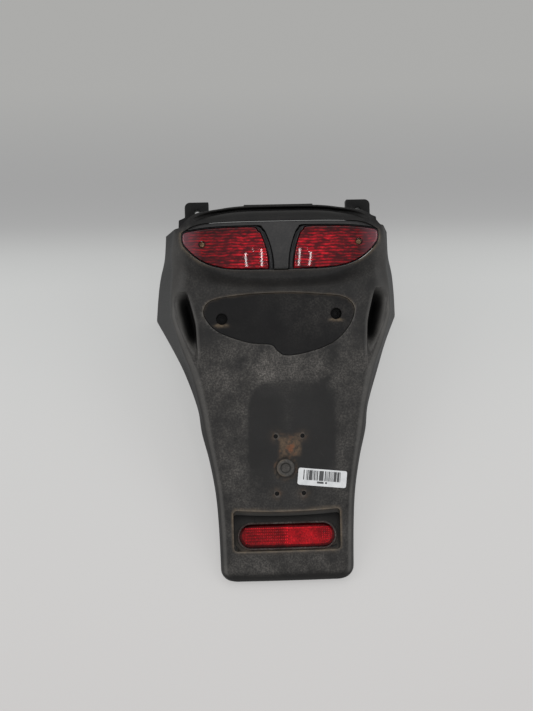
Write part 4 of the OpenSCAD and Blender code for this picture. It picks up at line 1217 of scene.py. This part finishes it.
# Plate buffer: round rubber button that keeps the number plate off the panel. Its stem is
# pushed through a hole in the panel, and its middle is hollow.
r = buffer_d / 2
groove = -wall - 0.1
buffer_profile = [
    (0.05, -7), (r * 0.46, -7), (r * 0.5, -6.8), (r * 0.68, -4.6), (r * 0.68, groove), (r * 0.55, groove),
    (r * 0.55, 0.1), (r - 0.1, 0.1), (r, 0.4), (r, 1.3), (r - 0.2, 1.8), (r - 0.8, 2.15), (r - 1.6, 2.2),
    (r * 0.62, 2.2), (r * 0.56, 2.0), (r * 0.5, 1.4), (r * 0.44, 1.05), (r * 0.4, 1.0), (r * 0.3, 1.0),
    (0.05, 1.0)]
buffer_loops = turned(0, buffer_s, buffer_profile, 64)
buffer_piece = shade(solid_piece("plate_buffer", *capped_loops(buffer_loops)), 40)
at = to_panel(points_of(buffer_piece))
around = np.hypot(at[:, 0], at[:, 1] - buffer_s)
# Painted shade darkens the hollow middle and the groove round the button, and the edge mask paints a
# highlight on its raised ring.
hollow = 0.8 * smooth((6.2 - around) / 0.8) * smooth((around - 4.2) / 0.6)
paint(buffer_piece, "deep", hollow + 0.7 * smooth((around - 9.4) / 0.4))
paint(buffer_piece, "seam", 0.9 * np.exp(-((around - 9.2) / 0.9) ** 2) * smooth((3 - at[:, 0]) / 6))
paint(buffer_piece, "edge", 0.45 * np.exp(-((around - 7.4) / 1.3) ** 2))
buffer_rubber = moulded_plastic("buffer_rubber", srgb(32, 31, 30), srgb(74, 70, 64), grain_size=900.0,
                                rough=0.55, streaks=0.0, dust=0.35, shine=0.3, masks=True)
finish_piece(buffer_piece, buffer_rubber, "buffer", "plate_buffer")

# Label: a coated white paper sticker with a row of plain bars. It is stuck to the panel
# and follows its crown.
def on_shell(x, s):
    """Height of the shell's outer face over a point of the panel."""
    start, toward = Vector(seat([x, s, 30])), Vector((0, s25, -c25))
    hit, place, _, _ = shell.ray_cast(start, toward)
    return to_panel(np.array(place))[2] if hit else 0.0


turn, label_x, label_s = math.radians(-6.3), 39.9, 112.8
u, v = np.meshgrid(np.linspace(-26.8, 26.8, 28), np.linspace(-9.25, 9.25, 11))
inset = 1.2 * ((np.abs(u) > 26) & (np.abs(v) > 9))
u, v = u - np.sign(u) * inset * 0.5, v - np.sign(v) * inset * 0.5
x = label_x + u * math.cos(turn) - v * math.sin(turn)
s = label_s + u * math.sin(turn) + v * math.cos(turn)
h = np.array([[on_shell(*p) for p in zip(*row)] for row in zip(x, s)])
sheets = [np.stack([x, s, h + lift], -1).reshape(-1, 3) for lift in (0.22, 0.02)]
m, n = u.shape
k = m * n
label_faces = grid_faces(m, n) + grid_faces(m, n, start=k, flip=True)
ring = list(range(n)) + [i * n + n - 1 for i in range(1, m)]
ring += [(m - 1) * n + j for j in range(n - 2, -1, -1)] + [i * n for i in range(m - 2, 0, -1)]
label_faces += [(b, a, k + a, k + b) for a, b in zip(ring, ring[1:] + ring[:1])]
label_piece = solid_piece("label", np.concatenate(sheets), label_faces)
paint(label_piece, "across", np.tile(u.ravel(), 2))
paint(label_piece, "up", np.tile(v.ravel(), 2))
paper, tree, shader = new_material("label_paper", Roughness=0.45)
vector = panel_place(tree)
across_mm, up_mm = attribute(tree, "across"), attribute(tree, "up")


def within(value, middle, half):
    distance = math_node(tree, "ABSOLUTE", math_node(tree, "SUBTRACT", value, middle))
    return math_node(tree, "LESS_THAN", distance, half)


def bars(pitch, share):
    step = math_node(tree, "FLOOR", times(tree, across_mm, 1 / pitch))
    toss = put(tree, "ShaderNodeTexWhiteNoise", {"W": step}, noise_dimensions="1D").outputs["Value"]
    return math_node(tree, "LESS_THAN", toss, share)


bar_area = times(tree, within(up_mm, 2.0, 5.4), within(across_mm, -0.5, 20.5))
ink = times(tree, bars(0.62, 0.62), bar_area)
row_area = times(tree, within(up_mm, -5.4, 1.1), within(across_mm, -0.5, 6.0))
under_row = times(tree, bars(0.9, 0.6), row_area)
ink = math_node(tree, "MAXIMUM", ink, under_row)
white = ramp(tree, noise(tree, vector, 120.0, 4.0, 0.6),
             [(0.3, srgb(196, 198, 200)), (0.7, srgb(216, 217, 218))])
feed(shader, "Base Color", mix(tree, times(tree, ink, 0.93), white, srgb(24, 24, 26)))
relief(shader, noise(tree, vector, 60.0, 3.0), 0.3, 0.0002)
finish_piece(shade(label_piece, 30), paper, "label")

# Reflex reflector: dark backing tray with two studs, and a red prism plate welded in.
# Rows of small prisms show through its face.
reflex_l, reflex_w = 108.0, 30.0
backing_plastic = moulded_plastic("reflector_backing", srgb(30, 12, 12), srgb(70, 50, 44), rough=0.35,
                                  streaks=0.0, dust=0.6)
backing = shade(from_cad("reflex_base", "reflector_backing", 0.4), 40)
finish_piece(backing, backing_plastic, "reflex_base", "reflex_base")


def stadium(l, w, y0, n=24):
    q = np.linspace(-math.pi / 2, math.pi / 2, n)
    a = (l - w) / 2
    right_end = np.column_stack([a + w / 2 * np.cos(q), y0 + w / 2 + w / 2 * np.sin(q)])
    left_end = np.column_stack([-a - w / 2 * np.cos(q), y0 + w / 2 - w / 2 * np.sin(q)])
    return np.concatenate([right_end, left_end])


rim_w, plate_foot, plate_z = 2.2, 2.7, 2.3
plate_w, plate_l = reflex_w - 2 * rim_w, reflex_l - 2 * rim_w
# Rings of the plate: inset, height over its foot, and a painted light share: low on the sides and the bevel
# as painted shade, highest on a thin line where the bevel meets the face as a painted highlight
plate_rings = ((0, 0.0, 0.2), (0, 3.6, 0.2), (0.2, 4.1, 0.25), (2.5, 5.7, 0.3), (2.9, 5.98, 1.0),
               (3.5, 6.0, 0.75))
loops = [at_height(stadium(plate_l - 2 * inset, plate_w - 2 * inset, plate_foot + inset), z + plate_z)
         for inset, z, _ in plate_rings]
verts, plate_faces = capped_loops(loops)
plate = solid_piece("reflector_plate", on_pocket_floor(verts), plate_faces)
paint(plate, "glow", np.repeat([g for _, _, g in plate_rings], 48))


def cell_field():
    """Geometry Nodes tree: low pyramids on the points of a grid, in millimetres."""
    tree = bpy.data.node_groups.new("prism_cells", "GeometryNodeTree")
    for label, kind, value in (
            ("Length", "NodeSocketFloat", 45.0), ("Width", "NodeSocketFloat", 16.0),
            ("Pitch Along", "NodeSocketFloat", 2.1), ("Pitch Up", "NodeSocketFloat", 2.9),
            ("Height", "NodeSocketFloat", 0.13), ("Turn", "NodeSocketFloat", 0.785),
            ("Seed", "NodeSocketInt", 4), ("Material", "NodeSocketMaterial", None)):
        socket = tree.interface.new_socket(label, in_out="INPUT", socket_type=kind)
        if value is not None:
            socket.default_value = value
    tree.interface.new_socket("Geometry", in_out="OUTPUT", socket_type="NodeSocketGeometry")
    into, outof = tree.nodes.new("NodeGroupInput").outputs, tree.nodes.new("NodeGroupOutput").inputs
    count = [plus(tree, math_node(tree, "DIVIDE", into[a], into[b]), 1.0)
             for a, b in (("Length", "Pitch Along"), ("Width", "Pitch Up"))]
    grid = put(tree, "GeometryNodeMeshGrid", {"Size X": into["Length"], "Size Y": into["Width"],
                                              "Vertices X": count[0], "Vertices Y": count[1]})
    cone = put(tree, "GeometryNodeMeshCone", {"Vertices": 4, "Radius Top": 0.1, "Radius Bottom": 0.56,
                                              "Depth": 1.0})
    spin = put(tree, "ShaderNodeCombineXYZ", {"Z": into["Turn"]})
    cell = put(tree, "GeometryNodeTransform", {"Geometry": cone.outputs["Mesh"], "Rotation": spin.outputs[0]})
    vary = put(tree, "FunctionNodeRandomValue", {2: 0.9, 3: 1.1, "Seed": into["Seed"]}, data_type="FLOAT")
    height = times(tree, vary.outputs[1], into["Height"])
    size = put(tree, "ShaderNodeCombineXYZ", {"X": into["Pitch Along"], "Y": into["Pitch Up"], "Z": height})
    placed_cells = put(tree, "GeometryNodeInstanceOnPoints", {
        "Points": grid.outputs["Mesh"], "Instance": cell.outputs[0], "Scale": size.outputs[0]})
    real = put(tree, "GeometryNodeRealizeInstances", {"Geometry": placed_cells.outputs[0]})
    painted = put(tree, "GeometryNodeSetMaterial", {"Geometry": real.outputs[0],
                                                    "Material": into["Material"]})
    tree.links.new(painted.outputs[0], outof["Geometry"])
    return tree


def field_of_cells(tree, middle, **values):
    """The tree's mesh, laid on the reflector's face round a middle (x, y)."""
    holder = bpy.data.objects.new("cells", bpy.data.meshes.new("cells"))
    scene.collection.objects.link(holder)
    change = holder.modifiers.new("cells", "NODES")
    change.node_group = tree
    for item in tree.interface.items_tree:
        key = item.name.replace(" ", "_")
        if item.in_out == "INPUT" and key in values:
            change[item.identifier] = values[key]
    graph = bpy.context.evaluated_depsgraph_get()
    mesh = bpy.data.meshes.new_from_object(holder.evaluated_get(graph))
    bpy.data.objects.remove(holder)
    co = np.zeros(len(mesh.vertices) * 3, np.float32)
    mesh.vertices.foreach_get("co", co)
    face_z = plate_rings[-1][1] + plate_z - 0.02
    co = co.reshape(-1, 3) + [middle[0], middle[1], face_z]
    mesh.vertices.foreach_set("co", seat(on_pocket_floor(co)).astype(np.float32).ravel())
    piece = add_piece("cells", mesh)
    # Painted light: the prism tips are painted up to 2.4 times brighter as highlights, and their feet darker
    # as shade.
    paint(piece, "glow", np.clip((co[:, 2] - face_z) * 20, 0.05, 2.4))
    return piece


red_prism, tree, shader = new_material("red_prisms", Roughness=0.25)
shader.inputs["Specular IOR Level"].default_value = 0.15
vector = panel_place(tree)
part = put(tree, "ShaderNodeSeparateXYZ", {"Vector": vector})
sparkle = plus(tree, times(tree, noise(tree, vector, 900.0, 2.0, 0.6, (1.0, 0.5, 1.0)), 0.6),
               times(tree, noise(tree, vector, 60.0, 3.0), 0.5))
red = ramp(tree, sparkle, [(0.3, srgb(70, 2, 10)), (0.55, srgb(150, 8, 20)), (0.8, srgb(222, 24, 36))])
half_way = plus(tree, times(tree, part.outputs["X"], 9.2), 0.5)
halves = ramp(tree, half_way, [(0.0, 0.5), (0.46, 0.6), (0.5, 1.25), (0.8, 1.1), (1.0, 0.7)])
red = mix(tree, 1.0, red, halves, "MULTIPLY")
# Painted light: the lower edge and the upper bevel are painted darker as shade, with a bright painted
# highlight line where the bevel meets the face.
up_plate = times(tree, math_node(tree, "SUBTRACT", part.outputs["Y"], 0.0385), 39.2)
bevel_shade_and_highlight = ramp(tree, up_plate, [(0.04, 0.4), (0.12, 1.0), (0.77, 0.95), (0.79, 1.7), (0.82, 1.5), (0.84, 0.3),
                                (1.0, 0.2)])
red = mix(tree, 1.0, red, bevel_shade_and_highlight, "MULTIPLY")
# The glow attribute carries painted shade and painted highlights into the colour; the plate gives off no
# light.
feed(shader, "Base Color", mix(tree, 1.0, red, attribute(tree, "glow"), "MULTIPLY"))
relief(shader, noise(tree, vector, 400.0, 2.0), 0.2, 0.0002)
cells = cell_field()
middle_y = plate_foot + plate_w / 2
diamonds = field_of_cells(cells, (-22.5, middle_y), Material=red_prism)
squares = field_of_cells(cells, (42.0, middle_y), Length=7.0, Width=11.0, Pitch_Along=2.0, Pitch_Up=2.0,
                         Turn=0.0, Material=red_prism)
plate = merge([plate, diamonds, squares], "reflector_plate")
shade(plate, 20)
finish_piece(plate, red_prism, "reflex_lens", "reflex_lens")

# Reflector nuts: two zinc plated steel nuts on the reflector's studs behind the pocket.
# They keep their drawn shape.
nut_steel, tree, shader = new_material("nut_steel", Metallic=0.9)
vector = panel_place(tree)
feed(shader, "Base Color", ramp(tree, noise(tree, vector, 300.0, 3.0),
                                [(0.3, srgb(120, 118, 112)), (0.7, srgb(168, 166, 160))]))
feed(shader, "Roughness", ramp(tree, noise(tree, vector, 500.0, 3.0), [(0.3, 0.3), (0.7, 0.5)]))
nuts = shade(from_cad("reflex_nuts", "reflector_nuts", 0.2))
finish_piece(nuts, nut_steel, "nut", "reflex_nuts")

low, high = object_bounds()
